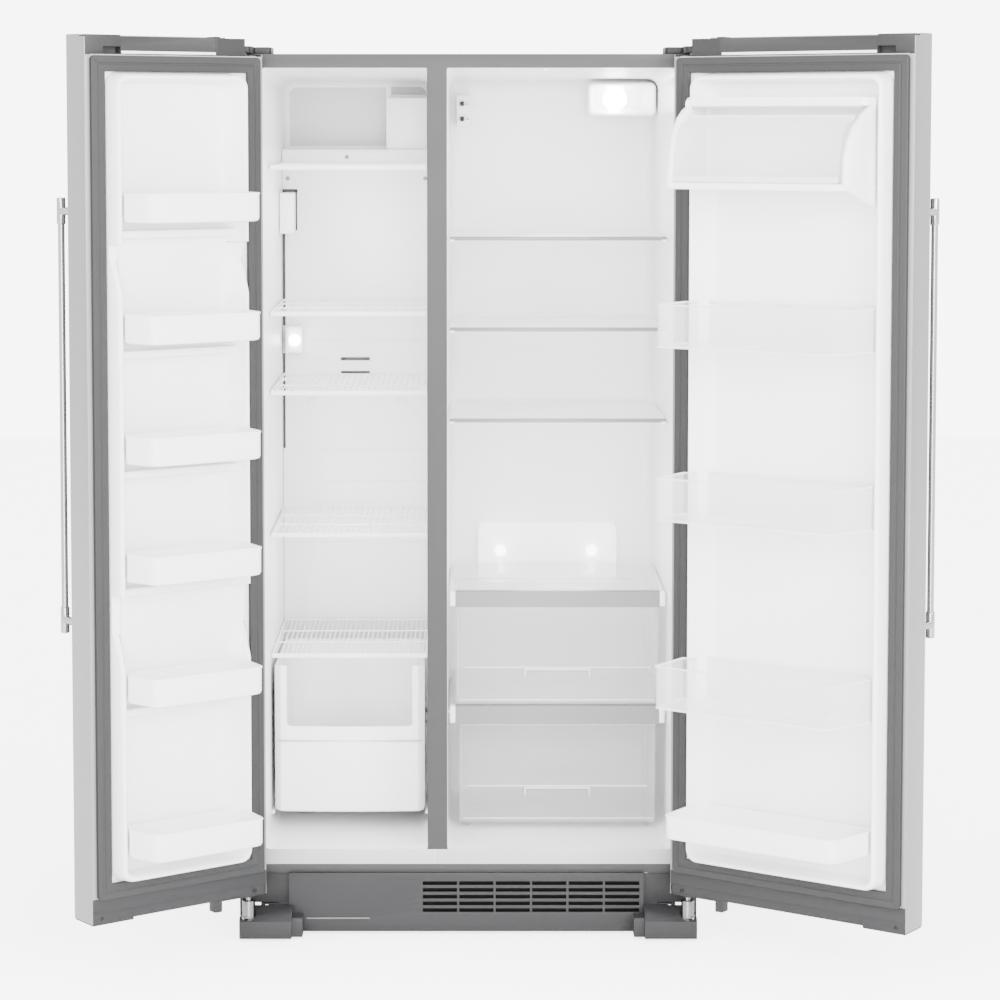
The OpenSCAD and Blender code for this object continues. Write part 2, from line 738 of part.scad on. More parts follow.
module fridge_shelf_1() { glass_shelf(glass_z[0]); }
module fridge_shelf_2() { glass_shelf(glass_z[1]); }
module fridge_shelf_3() { glass_shelf(glass_z[2]); }

// a glass cover over a drawer, with its moulded front rail; it stays in the cabinet
module crisper_cover(z, rail) {
    x = [fri_x0 + 1, fri_x1 - 1];
    y = [shelf_front, shelf_front + shelf_d];
    color("Silver") in_cabinet() {
        difference() {
            slab([y[0], y[0] + 22]) round_rect([x[0] + 2, x[1] - 2], [z - rail, z], 3);
            box([x[0] - cut, x[1] + cut], [y[0] + 3, y[0] + 23], [z - rail - cut, z - 12]);
            box([x[0] - cut, x[1] + cut], [y[0] + 12, y[0] + 23], [z - 8, z - 3]);
        }
        box([x[0] + 3, x[1] - 3], [y[0] + 12, y[1]], [z - 8, z - 3]);
        for (cx = [[x[0] + 1.2, x[0] + 9], [x[1] - 9, x[1] - 1.2]])
            box(cx, [y[0] + 22, y[1]], [z - 12, z - 8]);
    }
}

module crisper_cover_upper() { crisper_cover(crisper1_z, rail1_h); }
module crisper_cover_lower() { crisper_cover(crisper2_z, rail2_h); }

// a clear drawer with a finger ledge across its front
module drawer(x, y, z) {
    t = clear_t;
    mid = (x[0] + x[1]) / 2;
    in_cabinet() union() {
        difference() {
            round_slab(x, y, z, 14);
            round_slab([x[0] + t, x[1] - t], [y[0] + t, y[1] - t], [z[0] + t, z[1] + 40], 12);
            box([x[0] - 20, x[1] + 20], [y[0] - 20, y[1] + 20], [z[1], z[1] + 60]);
        }
        for (cx = [[x[0] - 4, x[0] + t], [x[1] - t, x[1] + 4]])
            box(cx, [y[0] + 24, y[1] - 16], [z[1] - 3, z[1] - eps]);
        difference() {
            box([mid - 68, mid + 68], [y[0] - 9, y[0] + 0.5], [z[0] + 58, z[0] + 76]);
            box([mid - 65, mid + 65], [y[0] - 6, y[0] - eps], [z[0] + 57, z[0] + 73]);
        }
    }
}

module round_slab(x, y, z, r) {
    slab(y) round_rect(x, [z[0], z[1] + 20], r);
}

module crisper_drawer_upper() {
    color("White", 0.4) drawer([fri_x0 + 16, fri_x1 - 16], [shelf_front + 6, shelf_front + shelf_d - 40],
        [crisper2_z + slide_fit, crisper1_z - rail1_h - slide_fit]);
}

module crisper_drawer_lower() {
    x = [fri_x0 + 22, fri_x1 - 22];
    y = [shelf_front + 6, floor_end - 16];
    z = [open_z0 + 12, crisper2_z - rail2_h - slide_fit];
    color("White", 0.4) union() {
        drawer(x, y, z);
        in_cabinet() for (fx = [x[0] + 16, x[1] - 24])
            box([fx, fx + 8], [y[0] + 20, y[1] - 20], [open_z0 + slide_fit, z[0] + eps]);
    }
}

// ---- doors ---------------------------------------------------------------------------------

// the steel skin: the front and both sides in one sheet, with a lip turned in at the back
module door_panel(w) {
    color("LightGray") difference() {
        union() {
            linear_extrude_at(door_z0, door_z1 - door_z0) difference() {
                panel_outline(w, 0);
                panel_outline(w, sheet);
            }
            linear_extrude_at(back_z0, back_z1 - back_z0)
                for (x = [sheet - eps, w - lip_w]) translate([x, -sheet]) square([lip_w - sheet + eps, sheet]);
        }
        box([-cut, notch_w], [-door_t - cut, cut], [notch_z, door_z1 + cut]);
        box([-cut, w + cut], [-20, cut], [door_z1 - 5, door_z1 + cut]);
    }
}

// the outline of a door seen from above, with rounded front corners
module panel_outline(w, g) {
    translate([g, -door_t + skin_r]) square([w - 2 * g, door_t - skin_r + (g > 0 ? cut : 0)]);
    translate([skin_r, -door_t + g]) square([w - 2 * skin_r, skin_r + eps]);
    for (x = [skin_r, w - skin_r]) translate([x, -door_t + skin_r]) circle(skin_r - g);
}

// the moulded inner face: a flange under the gasket and a raised ring round the food space
module door_liner(w, steps, ledges) {
    x = [dike_hinge, w - dike_in];
    color("White") union() {
        box([lip_w + 0.3, w - lip_w - 0.3], [-face_t, 0], [back_z0, back_z1]);
        difference() {
            slab([-eps, dike_h]) round_rect(x, [panel_z0, panel_z1], 26);
            slab([-cut, dike_h + cut]) round_rect([x[0] + dike_w, x[1] - dike_w],
                [panel_z0 + dike_w, panel_z1 - dike_w], 16);
            for (s = steps) along_x([x[0] - cut, x[1] + cut])
                polygon([[14, s[1]], [dike_h + cut, s[1]], [dike_h + cut, s[0]], [14, s[0] + 70]]);
        }
        for (z = ledges) slab([-eps, 30]) round_rect([x[0] + dike_w - 2, x[1] - dike_w + 2], [z - 16, z], 6);
    }
}

module door_gasket(w) {
    x = [gasket_in, w - gasket_in];
    z = [panel_z0 - gasket_w - 2, panel_z1 + gasket_w + 2];
    h = door_gap - gasket_fit;
    color("Gray") difference() {
        slab([0.05, h]) round_rect(x, z, 8);
        slab([-cut, h + cut]) round_rect([x[0] + gasket_w, x[1] - gasket_w], [z[0] + gasket_w, z[1] - gasket_w], 4);
        slab([3.5, 7.5]) difference() {
            round_rect([x[0] - cut, x[1] + cut], [z[0] - cut, z[1] + cut], 8);
            round_rect([x[0] + 5, x[1] - 5], [z[0] + 5, z[1] - 5], 5);
        }
    }
}

// the moulded end caps: the upper one carries the upper bush, the lower one the lower bush
module door_caps(w) {
    g = sheet + 0.2;
    bush = pin_r + run_fit;
    color("Gray") {
        difference() {
            union() {
                box([g, w - g], [-door_t + skin_r, -face_t - 0.3], [back_z1 - 30, back_z1]);
                box([notch_w, w - g], [-door_t + skin_r, -face_t - 0.3], [back_z1 - eps, back_z1 + 1]);
                box([notch_w, w - g], [-door_t + skin_r, -sheet - 0.2], [back_z1 + 0.5, door_z1 - 4]);
                for (x = [[w - 77, w - g], [notch_w + 57, notch_w + 67]])
                    box(x, [-34, -0.5], [back_z1 + 4, door_z1 - 1]);
                translate([hinge_in, -pin_to_back, back_z1 - 30]) cylinder(h = notch_z - back_z1 + 30, r = 12);
            }
            box([notch_w + 4, w - 82], [-door_t + skin_r + 4, -38], [back_z1 + 6, door_z1]);
            box([w - 78, w - 40], [-20, cut], [back_z1 + 2, back_z1 + 15]);
            translate([hinge_in, -pin_to_back, back_z1 - 60]) cylinder(h = 90, r = bush);
        }
        difference() {
            union() {
                box([g, w - g], [-door_t + skin_r, -face_t - 0.3], [door_z0 + 1, back_z0 + 6]);
                box([w - 90, w - g], [-door_t + skin_r, -0.5], [door_z0 - 3, back_z0 - 0.5]);
                box([6, notch_w + 72], [-door_t + skin_r + 4, -sheet - 0.2], [door_z0 - 1, door_z0 + 2]);
                box([notch_w + 62, notch_w + 78], [-26, -4], [door_z0 - 22, door_z0 + 2]);
                translate([hinge_in, -pin_to_back, door_z0 - 9]) cylinder(h = 20, r = 12);
            }
            translate([hinge_in, -pin_to_back, door_z0 - 20]) cylinder(h = 60, r = bush);
        }
    }
}

// a round bar between two wider ends, each on its own foot
module door_handle(w) {
    x = w - 22;
    z = [door_z1 - handle_drop - handle_l, door_z1 - handle_drop];
    y = -door_t - handle_out;
    foot_l = 51;
    color("Gainsboro") union() {
        translate([x, y, z[0]]) cylinder(h = handle_l, r = handle_r);
        for (fz = [z[0], z[1] - foot_l]) {
            translate([x, y, fz]) cylinder(h = foot_l, r = handle_r + 2);
            translate([x, y, fz + foot_l / 2]) rotate([-90, 0, 0]) cylinder(h = handle_out - 0.02, r = 9);
        }
    }
}

module freezer_door_panel() {
    on_freezer_door() door_panel(frz_door_w);
}

frz_ledges = [for (i = [0:4]) trivet_z[i] - trivet_h - 15];
frz_steps = [[trivet_z[0] - trivet_h - 141, trivet_z[0] - trivet_h - 41],
    [trivet_z[3] - trivet_h - 173, trivet_z[3] - trivet_h - 28]];

module freezer_door_liner() {
    on_freezer_door() door_liner(frz_door_w, frz_steps, frz_ledges);
}

module freezer_door_gasket() {
    on_freezer_door() door_gasket(frz_door_w);
}

module freezer_door_caps() {
    on_freezer_door() door_caps(frz_door_w);
}

module freezer_door_handle() {
    on_freezer_door() door_handle(frz_door_w);
}

// the outline of a tray seen from above, from the door's inner face outwards; over is how far it
// reaches over the raised ring at the hinge side and the free side, taper how far it narrows again
function tray_outline(x, p, y0, g, over, taper) = [[x[0] + g, y0], [x[0] + g, dike_h + 2 + g],
    [x[0] - over[0] + g, dike_h + 3 + g], [x[0] - over[0] + taper[0] + g, p - g],
    [x[1] + over[1] - taper[1] - g, p - g], [x[1] + over[1] - g, dike_h + 3 + g],
    [x[1] - g, dike_h + 2 + g], [x[1] - g, y0]];

module tray(x, p, z, t, over, taper) {
    difference() {
        linear_extrude_at(z[0], z[1] - z[0]) polygon(tray_outline(x, p, 1, 0, over, taper));
        linear_extrude_at(z[0] + t, z[1] - z[0] + 2) polygon(tray_outline(x, p, 1 + t, t, over, taper));
        linear_extrude_at(z[0] + t, z[1] - z[0] + 2)
            polygon([[x[0] - cut, 0], [x[0] - cut, 22], [x[1] + cut, 22], [x[1] + cut, 0]]);
    }
}

module freezer_door_shelves() {
    x = [dike_hinge + dike_w + 0.5, frz_door_w - dike_in - dike_w - 0.5];
    color("White") on_freezer_door()
        for (z = trivet_z) tray(x, trivet_p, [z - trivet_h, z], 3, [0, 6], [10, 17]);
}

module fridge_door_panel() {
    on_fridge_door() door_panel(fri_door_w);
}

module fridge_door_liner() {
    on_fridge_door() door_liner(fri_door_w, [], []);
}

module fridge_door_gasket() {
    on_fridge_door() door_gasket(fri_door_w);
}

module fridge_door_caps() {
    on_fridge_door() door_caps(fri_door_w);
}

module fridge_door_handle() {
    on_fridge_door() door_handle(fri_door_w);
}

bin_x = [dike_hinge + dike_w + 0.5, fri_door_w - dike_in - dike_w - 0.5];
dairy_z = [cab_h - 258, cab_h - 86];

flap_x = [bin_x[0] + 14, bin_x[1] - 20];
flap_z = [dairy_z[0] + 14, dairy_z[1] - 36];
flap_pin_y = dairy_p - 12;
flap_pin_z = flap_z[1] - 10;
flap_pin_r = 3;

// a moulded housing, with a bearing at each end for the flap's pins
module dairy_compartment() {
    t = 3;
    over = [0, 2];
    taper = [0, 8];
    color("White") on_fridge_door() difference() {
        union() {
            difference() {
                linear_extrude_at(dairy_z[0], dairy_z[1] - dairy_z[0])
                    polygon(tray_outline(bin_x, dairy_p, 1, 0, over, taper));
                linear_extrude_at(dairy_z[0] + t, dairy_z[1] - dairy_z[0] - 2 * t)
                    polygon(tray_outline(bin_x, dairy_p, 1 + t, t, over, taper));
                box([flap_x[0] - 2, flap_x[1] + 2], [dairy_p - 46, dairy_p + cut], flap_z);
            }
            for (x = [[bin_x[0] + t - eps, flap_x[0] - 2], [flap_x[1] + 2, bin_x[1] - 7]])
                box(x, [flap_pin_y - 8, dairy_p - t + eps], [flap_pin_z - 8, flap_pin_z + 8]);
        }
        rod_x([flap_x[0] - 7, flap_x[1] + 7], flap_pin_y, flap_pin_z, flap_pin_r + run_fit);
    }
}

module dairy_flap() {
    low = flap_z[0] + 2;
    p = dairy_p;
    color("White", 0.4) on_fridge_door() union() {
        box(flap_x, [p - 4, p - 1], [low, flap_z[1] - 12]);
        box(flap_x, [p - 15, p - 1], [flap_z[1] - 13, flap_z[1] - 7]);
        box(flap_x, [p - 6, p + 4], [low, low + 8]);
        rod_x([flap_x[0] - 6, flap_x[1] + 6], flap_pin_y, flap_pin_z, flap_pin_r);
    }
}

module door_bin(i) {
    z = [bin_z[i] - bin_h, bin_z[i]];
    color("White", 0.4) on_fridge_door() tray(bin_x, bin_p, z, clear_t, [bin_over, 5], [0, bin_taper]);
}

module door_bin_1() { door_bin(0); }
module door_bin_2() { door_bin(1); }
module door_bin_3() { door_bin(2); }

module door_bin_bottom() {
    color("White") on_fridge_door() tray(bin_x, dairy_p, [open_z0 + 74, open_z0 + 122], 3, [0, 2], [0, 20]);
}

// ---- the named pieces ----------------------------------------------------------------------

cabinet_shell();
rear_panel();
freezer_liner();
fridge_liner();
base_frame();
base_grille();
foot_covers();
leveling_legs();
rear_roller_left();
rear_roller_right();
upper_hinges();
hinge_covers();
lower_hinges();
compressor();
condenser_coil();
condenser_fan_motor();
condenser_fan_blade();
drain_pan();
evaporator();
evaporator_fan_motor();
evaporator_fan_blade();
evaporator_cover();
air_duct_cover();
control_housing();
freezer_slider();
fridge_slider();
lamp_housings();
lamp_cover();
lamp_bulbs();
light_switch();
freezer_shelf_1();
freezer_shelf_2();
freezer_shelf_3();
freezer_shelf_4();
freezer_rack();
freezer_bin();
fridge_shelf_1();
fridge_shelf_2();
fridge_shelf_3();
crisper_cover_upper();
crisper_cover_lower();
crisper_drawer_upper();
crisper_drawer_lower();
freezer_door_panel();
freezer_door_liner();
freezer_door_gasket();
freezer_door_caps();
freezer_door_shelves();
freezer_door_handle();
fridge_door_panel();
fridge_door_liner();
fridge_door_gasket();
fridge_door_caps();
fridge_door_handle();
dairy_compartment();
dairy_flap();
door_bin_1();
door_bin_2();
door_bin_3();
door_bin_bottom();
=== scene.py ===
"""Side by side refrigerator: the finished surfaces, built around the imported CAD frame.

Each sub-assembly is a class that holds its own sizes and builds its own meshes. Lengths in the
dataclass fields are millimetres, and meshes are in metres in the frame's own axes: +Z up, +X to
the right, the doors face -Y.
"""

import json
import logging
import math
from dataclasses import dataclass
from enum import Enum
from functools import cache
from typing import Callable, Iterable, Optional, Sequence, Union

import bmesh
import bpy
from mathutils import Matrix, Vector


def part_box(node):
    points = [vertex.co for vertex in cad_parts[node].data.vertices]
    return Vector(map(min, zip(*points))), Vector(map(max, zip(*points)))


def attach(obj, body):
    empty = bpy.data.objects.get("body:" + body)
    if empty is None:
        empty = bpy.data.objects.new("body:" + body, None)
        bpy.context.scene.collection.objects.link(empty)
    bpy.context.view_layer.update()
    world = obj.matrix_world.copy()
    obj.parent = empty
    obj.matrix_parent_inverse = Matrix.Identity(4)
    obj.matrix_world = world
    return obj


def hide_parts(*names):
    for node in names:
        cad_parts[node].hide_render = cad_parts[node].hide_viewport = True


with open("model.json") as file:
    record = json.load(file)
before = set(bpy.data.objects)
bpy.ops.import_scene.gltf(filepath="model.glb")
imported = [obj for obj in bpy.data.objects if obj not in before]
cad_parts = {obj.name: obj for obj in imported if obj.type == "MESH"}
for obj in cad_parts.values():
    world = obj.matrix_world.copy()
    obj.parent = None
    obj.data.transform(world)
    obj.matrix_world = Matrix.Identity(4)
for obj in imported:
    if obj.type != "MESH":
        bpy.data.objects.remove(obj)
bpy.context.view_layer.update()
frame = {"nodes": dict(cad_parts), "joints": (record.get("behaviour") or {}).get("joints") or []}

MM = 0.001
SHARP = math.radians(38)
WELD = 2e-5
TRAY_INSET = (72.5, 57.5)

Point = tuple[float, float]
Ring = list[Vector]
Slab = tuple[Point, Point, Point, float]

logging.basicConfig(level=logging.INFO, format="%(name)s: %(message)s")
log = logging.getLogger("refrigerator")


class Grain(Enum):
    """The fine surface of a finish."""

    SMOOTH = "smooth"
    MOULDED = "moulded"
    BRUSHED = "brushed"
    CAST = "cast"
    CLEAR = "clear"


class Side(Enum):
    """The side of the cabinet that a door hangs on."""

    LEFT = -1
    RIGHT = 1


# ---- node trees -----------------------------------------------------------------------------


def add(tree: bpy.types.NodeTree, kind: str, inputs: dict[Union[str, int], object],
        **settings: object) -> bpy.types.Node:
    """Add a node to a tree.

    Args:
        tree: the tree.
        kind: the node's type.
        inputs: each input's value, or the socket that feeds it.
        settings: the node's own properties, set before its inputs.

    Returns:
        The new node.
    """
    node = tree.nodes.new(kind)
    for label, value in settings.items():
        setattr(node, label, value)
    for label, value in inputs.items():
        if isinstance(value, bpy.types.NodeSocket):
            tree.links.new(value, node.inputs[label])
        else:
            node.inputs[label].default_value = value
    return node


class GroupMaker:
    """Builds the shader node groups that several finishes share, each once."""

    @staticmethod
    def blank(name: str, inputs: dict[str, float], outputs: Sequence[str]) -> bpy.types.NodeTree:
        """Make an empty group with named float sockets.

        Args:
            name: the group's name.
            inputs: each input's name and default value.
            outputs: the names of the outputs.

        Returns:
            The new group, with its input and output nodes in place.
        """
        tree = bpy.data.node_groups.new(name, "ShaderNodeTree")
        for label, value in inputs.items():
            socket = tree.interface.new_socket(label, in_out="INPUT", socket_type="NodeSocketFloat")
            socket.default_value = value
        for label in outputs:
            tree.interface.new_socket(label, in_out="OUTPUT", socket_type="NodeSocketFloat")
        tree.nodes.new("NodeGroupInput").name = "in"
        tree.nodes.new("NodeGroupOutput").name = "out"
        return tree

    @staticmethod
    @cache
    def surface_grain() -> bpy.types.NodeTree:
        """Fine grain that can be drawn out along Z, with a slow drift of tone.

        Returns:
            A group with inputs Scale, Stretch and Drift, and outputs Height and Tone.
        """
        tree = GroupMaker.blank("surface_grain", {"Scale": 900.0, "Stretch": 1.0, "Drift": 2.5},
                                ["Height", "Tone"])
        given, out = tree.nodes["in"].outputs, tree.nodes["out"]
        place = add(tree, "ShaderNodeTexCoord", {}).outputs["Object"]
        along = add(tree, "ShaderNodeCombineXYZ", {"X": 1.0, "Y": 1.0, "Z": given["Stretch"]})
        drawn = add(tree, "ShaderNodeVectorMath", {0: place, 1: along.outputs["Vector"]}, operation="MULTIPLY")
        fine = add(tree, "ShaderNodeTexNoise", {"Detail": 3.0, "Vector": drawn.outputs["Vector"],
                                                "Scale": given["Scale"]})
        slow = add(tree, "ShaderNodeTexNoise", {"Detail": 1.0, "Vector": place, "Scale": given["Drift"]})
        both = add(tree, "ShaderNodeMath", {0: fine.outputs["Fac"], 1: slow.outputs["Fac"]}, operation="ADD")
        half = add(tree, "ShaderNodeMath", {0: both.outputs["Value"], 1: 0.5}, operation="MULTIPLY")
        tree.links.new(fine.outputs["Fac"], out.inputs["Height"])
        tree.links.new(half.outputs["Value"], out.inputs["Tone"])
        return tree

    @staticmethod
    @cache
    def pebbles() -> bpy.types.NodeTree:
        """The pebbled texture of a mould, as a height.

        Returns:
            A group with input Scale and output Height.
        """
        tree = GroupMaker.blank("pebbles", {"Scale": 700.0}, ["Height"])
        given, out = tree.nodes["in"].outputs, tree.nodes["out"]
        place = add(tree, "ShaderNodeTexCoord", {}).outputs["Object"]
        cells = add(tree, "ShaderNodeTexVoronoi", {"Vector": place, "Scale": given["Scale"]},
                    feature="SMOOTH_F1")
        tree.links.new(cells.outputs["Distance"], out.inputs["Height"])
        return tree

    @staticmethod
    @cache
    def soft_dust() -> bpy.types.NodeTree:
        """A faint film of dust and handling marks, as a mask.

        Returns:
            A group with inputs Scale and Amount, and output Mask.
        """
        tree = GroupMaker.blank("soft_dust", {"Scale": 7.0, "Amount": 0.3}, ["Mask"])
        given, out = tree.nodes["in"].outputs, tree.nodes["out"]
        place = add(tree, "ShaderNodeTexCoord", {}).outputs["Object"]
        cloud = add(tree, "ShaderNodeTexNoise", {"Detail": 5.0, "Roughness": 0.6, "Vector": place,
                                                 "Scale": given["Scale"]})
        spread = add(tree, "ShaderNodeMapRange", {"From Min": 0.45, "From Max": 0.7,
                                                  "Value": cloud.outputs["Fac"]})
        gain = add(tree, "ShaderNodeMath", {0: spread.outputs["Result"], 1: given["Amount"]},
                   operation="MULTIPLY")
        tree.links.new(gain.outputs["Value"], out.inputs["Mask"])
        return tree


# ---- finishes -------------------------------------------------------------------------------


@dataclass(frozen=True)
class Finish:
    """One material: its colours, gloss and fine surface."""

    name: str
    slot: str
    base: tuple[float, float, float]
    tone: tuple[float, float, float]
    rough: tuple[float, float] = (0.35, 0.5)
    metallic: float = 0.0
    grain: Grain = Grain.MOULDED
    scale: float = 900.0
    stretch: float = 1.0
    depth: float = 0.00002
    dust: float = 0.25
    coat: float = 0.0
    clear: Optional[tuple[float, float]] = None
    glow: float = 0.0
    shine: float = 0.5

    def material(self) -> bpy.types.Material:
        """The Blender material of this finish, built the first time it is asked for."""
        known = bpy.data.materials.get("finish_" + self.name)
        return known if known else self._build()

    def _build(self) -> bpy.types.Material:
        """Build the node tree.

        Returns:
            The new material.
        """
        mat = bpy.data.materials.new("finish_" + self.name)
        mat.use_nodes = True
        tree, link = mat.node_tree, mat.node_tree.links.new
        shader = tree.nodes["Principled BSDF"].inputs
        shader["Metallic"].default_value = self.metallic
        shader["Specular IOR Level"].default_value = self.shine
        if self.coat:
            shader["Coat Weight"].default_value = self.coat
            shader["Coat Roughness"].default_value = 0.12
        grain = add(tree, "ShaderNodeGroup", {"Scale": self.scale, "Stretch": self.stretch},
                    node_tree=GroupMaker.surface_grain())
        dust = add(tree, "ShaderNodeGroup", {"Amount": self.dust}, node_tree=GroupMaker.soft_dust())
        tint = add(tree, "ShaderNodeMix", {"A": (*self.base, 1.0), "B": (*self.tone, 1.0),
                                           "Factor": grain.outputs["Tone"]}, data_type="RGBA")
        link(tint.outputs["Result"], shader["Base Color"])
        gloss = add(tree, "ShaderNodeMapRange", {"To Min": self.rough[0], "To Max": self.rough[1],
                                                 "Value": dust.outputs["Mask"]})
        link(gloss.outputs["Result"], shader["Roughness"])
        height = grain.outputs["Height"]
        if self.grain is Grain.MOULDED:
            height = add(tree, "ShaderNodeGroup", {"Scale": self.scale * 0.8},
                         node_tree=GroupMaker.pebbles()).outputs["Height"]
        if self.grain not in (Grain.SMOOTH, Grain.CLEAR):
            bump = add(tree, "ShaderNodeBump", {"Strength": 0.6, "Distance": self.depth, "Height": height})
            link(bump.outputs["Normal"], shader["Normal"])
        if self.clear:
            edge = add(tree, "ShaderNodeLayerWeight", {"Blend": 0.35})
            body = add(tree, "ShaderNodeMapRange", {"To Min": self.clear[0], "To Max": self.clear[1],
                                                    "Value": edge.outputs["Facing"]})
            link(body.outputs["Result"], shader["Alpha"])
        if self.glow:
            shader["Emission Color"].default_value = (*self.base, 1.0)
            shader["Emission Strength"].default_value = self.glow
        return mat


CABINET_GREY = Finish("cabinet_grey_paint", "cabinet_paint", (0.038, 0.038, 0.039), (0.044, 0.044, 0.045),
                      (0.38, 0.55), scale=1400, depth=0.00001, dust=0.4, shine=0.25)
ZINC = Finish("zinc_plated_sheet", "galvanised_steel", (0.24, 0.245, 0.25), (0.31, 0.315, 0.32), (0.3, 0.5),
              metallic=0.85, grain=Grain.CAST, scale=160, depth=0.00001)
LINER_WHITE = Finish("liner_white", "liner_white", (0.86, 0.86, 0.86), (0.89, 0.89, 0.89), (0.28, 0.42),
                     scale=500, depth=0.00001, dust=0.2)
# Liner white darkened to about half: painted shade for the sill, which is the same white plastic as the liner.
SILL_SHADE_WHITE = Finish("sill_white", "liner_white", (0.42, 0.42, 0.42), (0.45, 0.45, 0.45), (0.3, 0.45),
                    scale=500, depth=0.00001, dust=0.3)
BASE_GREY = Finish("base_grey_plastic", "base_grey", (0.019, 0.019, 0.020), (0.024, 0.024, 0.025), (0.45, 0.6),
                   shine=0.25)
CAP_GREY = Finish("door_cap_grey", "base_grey", (0.022, 0.022, 0.023), (0.027, 0.027, 0.028), (0.42, 0.58),
                  shine=0.25)
DARK = Finish("dark_plastic", "dark_plastic", (0.010, 0.010, 0.011), (0.014, 0.014, 0.015), (0.4, 0.6),
              shine=0.25)
ENAMEL = Finish("black_enamel", "black_enamel", (0.006, 0.006, 0.006), (0.01, 0.01, 0.01), (0.25, 0.4),
                grain=Grain.CAST, scale=300, depth=0.00002, coat=0.1, shine=0.3)
FIN_ALLOY = Finish("evaporator_aluminium", "evaporator_aluminium", (0.36, 0.365, 0.37), (0.42, 0.425, 0.43),
                   (0.3, 0.45), metallic=0.9, grain=Grain.BRUSHED, scale=600, stretch=0.1)
LENS = Finish("lamp_lens", "lamp_lens", (0.93, 0.93, 0.92), (0.97, 0.97, 0.96), (0.3, 0.4),
              grain=Grain.SMOOTH, clear=(0.45, 0.8), glow=1.2)
BULB = Finish("lit_bulb", "bulb_glass", (1.0, 0.99, 0.97), (1.0, 1.0, 0.99), (0.2, 0.3),
              grain=Grain.SMOOTH, glow=14.0)
WHITE_WIRE = Finish("white_wire", "white_wire", (0.84, 0.84, 0.84), (0.88, 0.88, 0.88), (0.3, 0.45),
                    scale=600, depth=0.00001)
SHELF_GLASS = Finish("shelf_glass", "shelf_glass", (0.88, 0.90, 0.90), (0.91, 0.93, 0.93), (0.04, 0.12),
                     grain=Grain.CLEAR, clear=(0.05, 0.45))
GLASS_EDGE = Finish("glass_edge", "shelf_glass", (0.16, 0.165, 0.165), (0.22, 0.225, 0.225), (0.1, 0.2),
                    grain=Grain.SMOOTH)
RAIL_SILVER = Finish("crisper_rail_silver", "crisper_frame", (0.17, 0.17, 0.172), (0.19, 0.19, 0.192),
                     (0.3, 0.45), scale=800, depth=0.00001, shine=0.4)
CLEAR_PLASTIC = Finish("clear_plastic", "clear_plastic", (0.90, 0.90, 0.905), (0.94, 0.94, 0.945),
                       (0.05, 0.16), grain=Grain.CLEAR, clear=(0.10, 0.60))
DOOR_STEEL = Finish("brushed_door_steel", "door_steel", (0.26, 0.26, 0.262), (0.30, 0.30, 0.302), (0.26, 0.4),
                    metallic=0.92, grain=Grain.BRUSHED, scale=1500, stretch=0.02, depth=0.00001)
GASKET = Finish("gasket_vinyl", "gasket_grey", (0.030, 0.030, 0.031), (0.034, 0.034, 0.035), (0.5, 0.65),
                depth=0.00001, shine=0.2)
FLANGE_GREY = Finish("door_flange_grey", "door_steel", (0.21, 0.21, 0.212), (0.24, 0.24, 0.242), (0.35, 0.5),
                     scale=900, depth=0.00001, shine=0.3)
HANDLE_STEEL = Finish("satin_handle_steel", "handle_steel", (0.34, 0.34, 0.342), (0.42, 0.42, 0.422),
                      (0.16, 0.28), metallic=1.0, grain=Grain.BRUSHED, scale=1800, stretch=0.03)
# Near-black steel for the base frame: painted shade for the dark recesses beside the foot covers.
FRAME_SHADE_STEEL = Finish("painted_frame_steel", "galvanised_steel", (0.030, 0.030, 0.031), (0.04, 0.04, 0.041),
                    (0.4, 0.6), metallic=0.3, grain=Grain.CAST, scale=200, depth=0.00001)
BRIGHT_STEEL = Finish("bright_hinge_steel", "galvanised_steel", (0.16, 0.16, 0.162), (0.22, 0.22, 0.222),
                      (0.2, 0.34), metallic=1.0, grain=Grain.CAST, scale=250, depth=0.00001)
# Near-black: painted shade for the dark space behind the grille's openings and above its pull.
INSIDE_SHADE_BLACK = Finish("black_inside", "base_grey", (0.002, 0.002, 0.002), (0.003, 0.003, 0.003), (0.6, 0.8),
                      shine=0.1)
# Mid grey on white plastic: painted shadow for shadow lines under ledges, above the duct tower and in the dairy
# slot.
SHADOW_LINE_GREY = Finish("seam_shadow", "liner_white", (0.40, 0.40, 0.40), (0.44, 0.44, 0.44), (0.4, 0.55))
# Liner white darkened: painted shade for the freezer's upper recess.
RECESS_SHADE_WHITE = Finish("recess_white", "liner_white", (0.60, 0.60, 0.60), (0.63, 0.63, 0.63), (0.4, 0.55))
# Near-black: painted shadow in the gaps along the evaporator cover and round the wall box.
CREVICE_SHADE_DARK = Finish("gap_shadow", "liner_white", (0.055, 0.055, 0.055), (0.07, 0.07, 0.07), (0.6, 0.8), shine=0.1)
CLEAR_EDGE = Finish("clear_plastic_edge", "clear_plastic", (0.92, 0.925, 0.93), (0.96, 0.965, 0.97), (0.08, 0.2),
                    grain=Grain.CLEAR, clear=(0.40, 0.85))

# ---- meshes ---------------------------------------------------------------------------------


def round_ring(x: Point, z: Point, r: float, steps: int = 5) -> list[Point]:
    """A rectangle with round corners, anticlockwise.

    Args:
        x: its least and greatest first coordinate.
        z: its least and greatest second coordinate.
        r: the corner radius.
        steps: the number of edges in each corner.

    Returns:
        The points of the outline.
    """
    r = max(min(r, (x[1] - x[0]) / 2 - 1e-6, (z[1] - z[0]) / 2 - 1e-6), 1e-6)
    corners = ((x[1] - r, z[0] + r, -90), (x[1] - r, z[1] - r, 0), (x[0] + r, z[1] - r, 90),
               (x[0] + r, z[0] + r, 180))
    return [(cx + r * math.cos(math.radians(a + 90 * i / steps)),
             cz + r * math.sin(math.radians(a + 90 * i / steps)))
            for cx, cz, a in corners for i in range(steps + 1)]


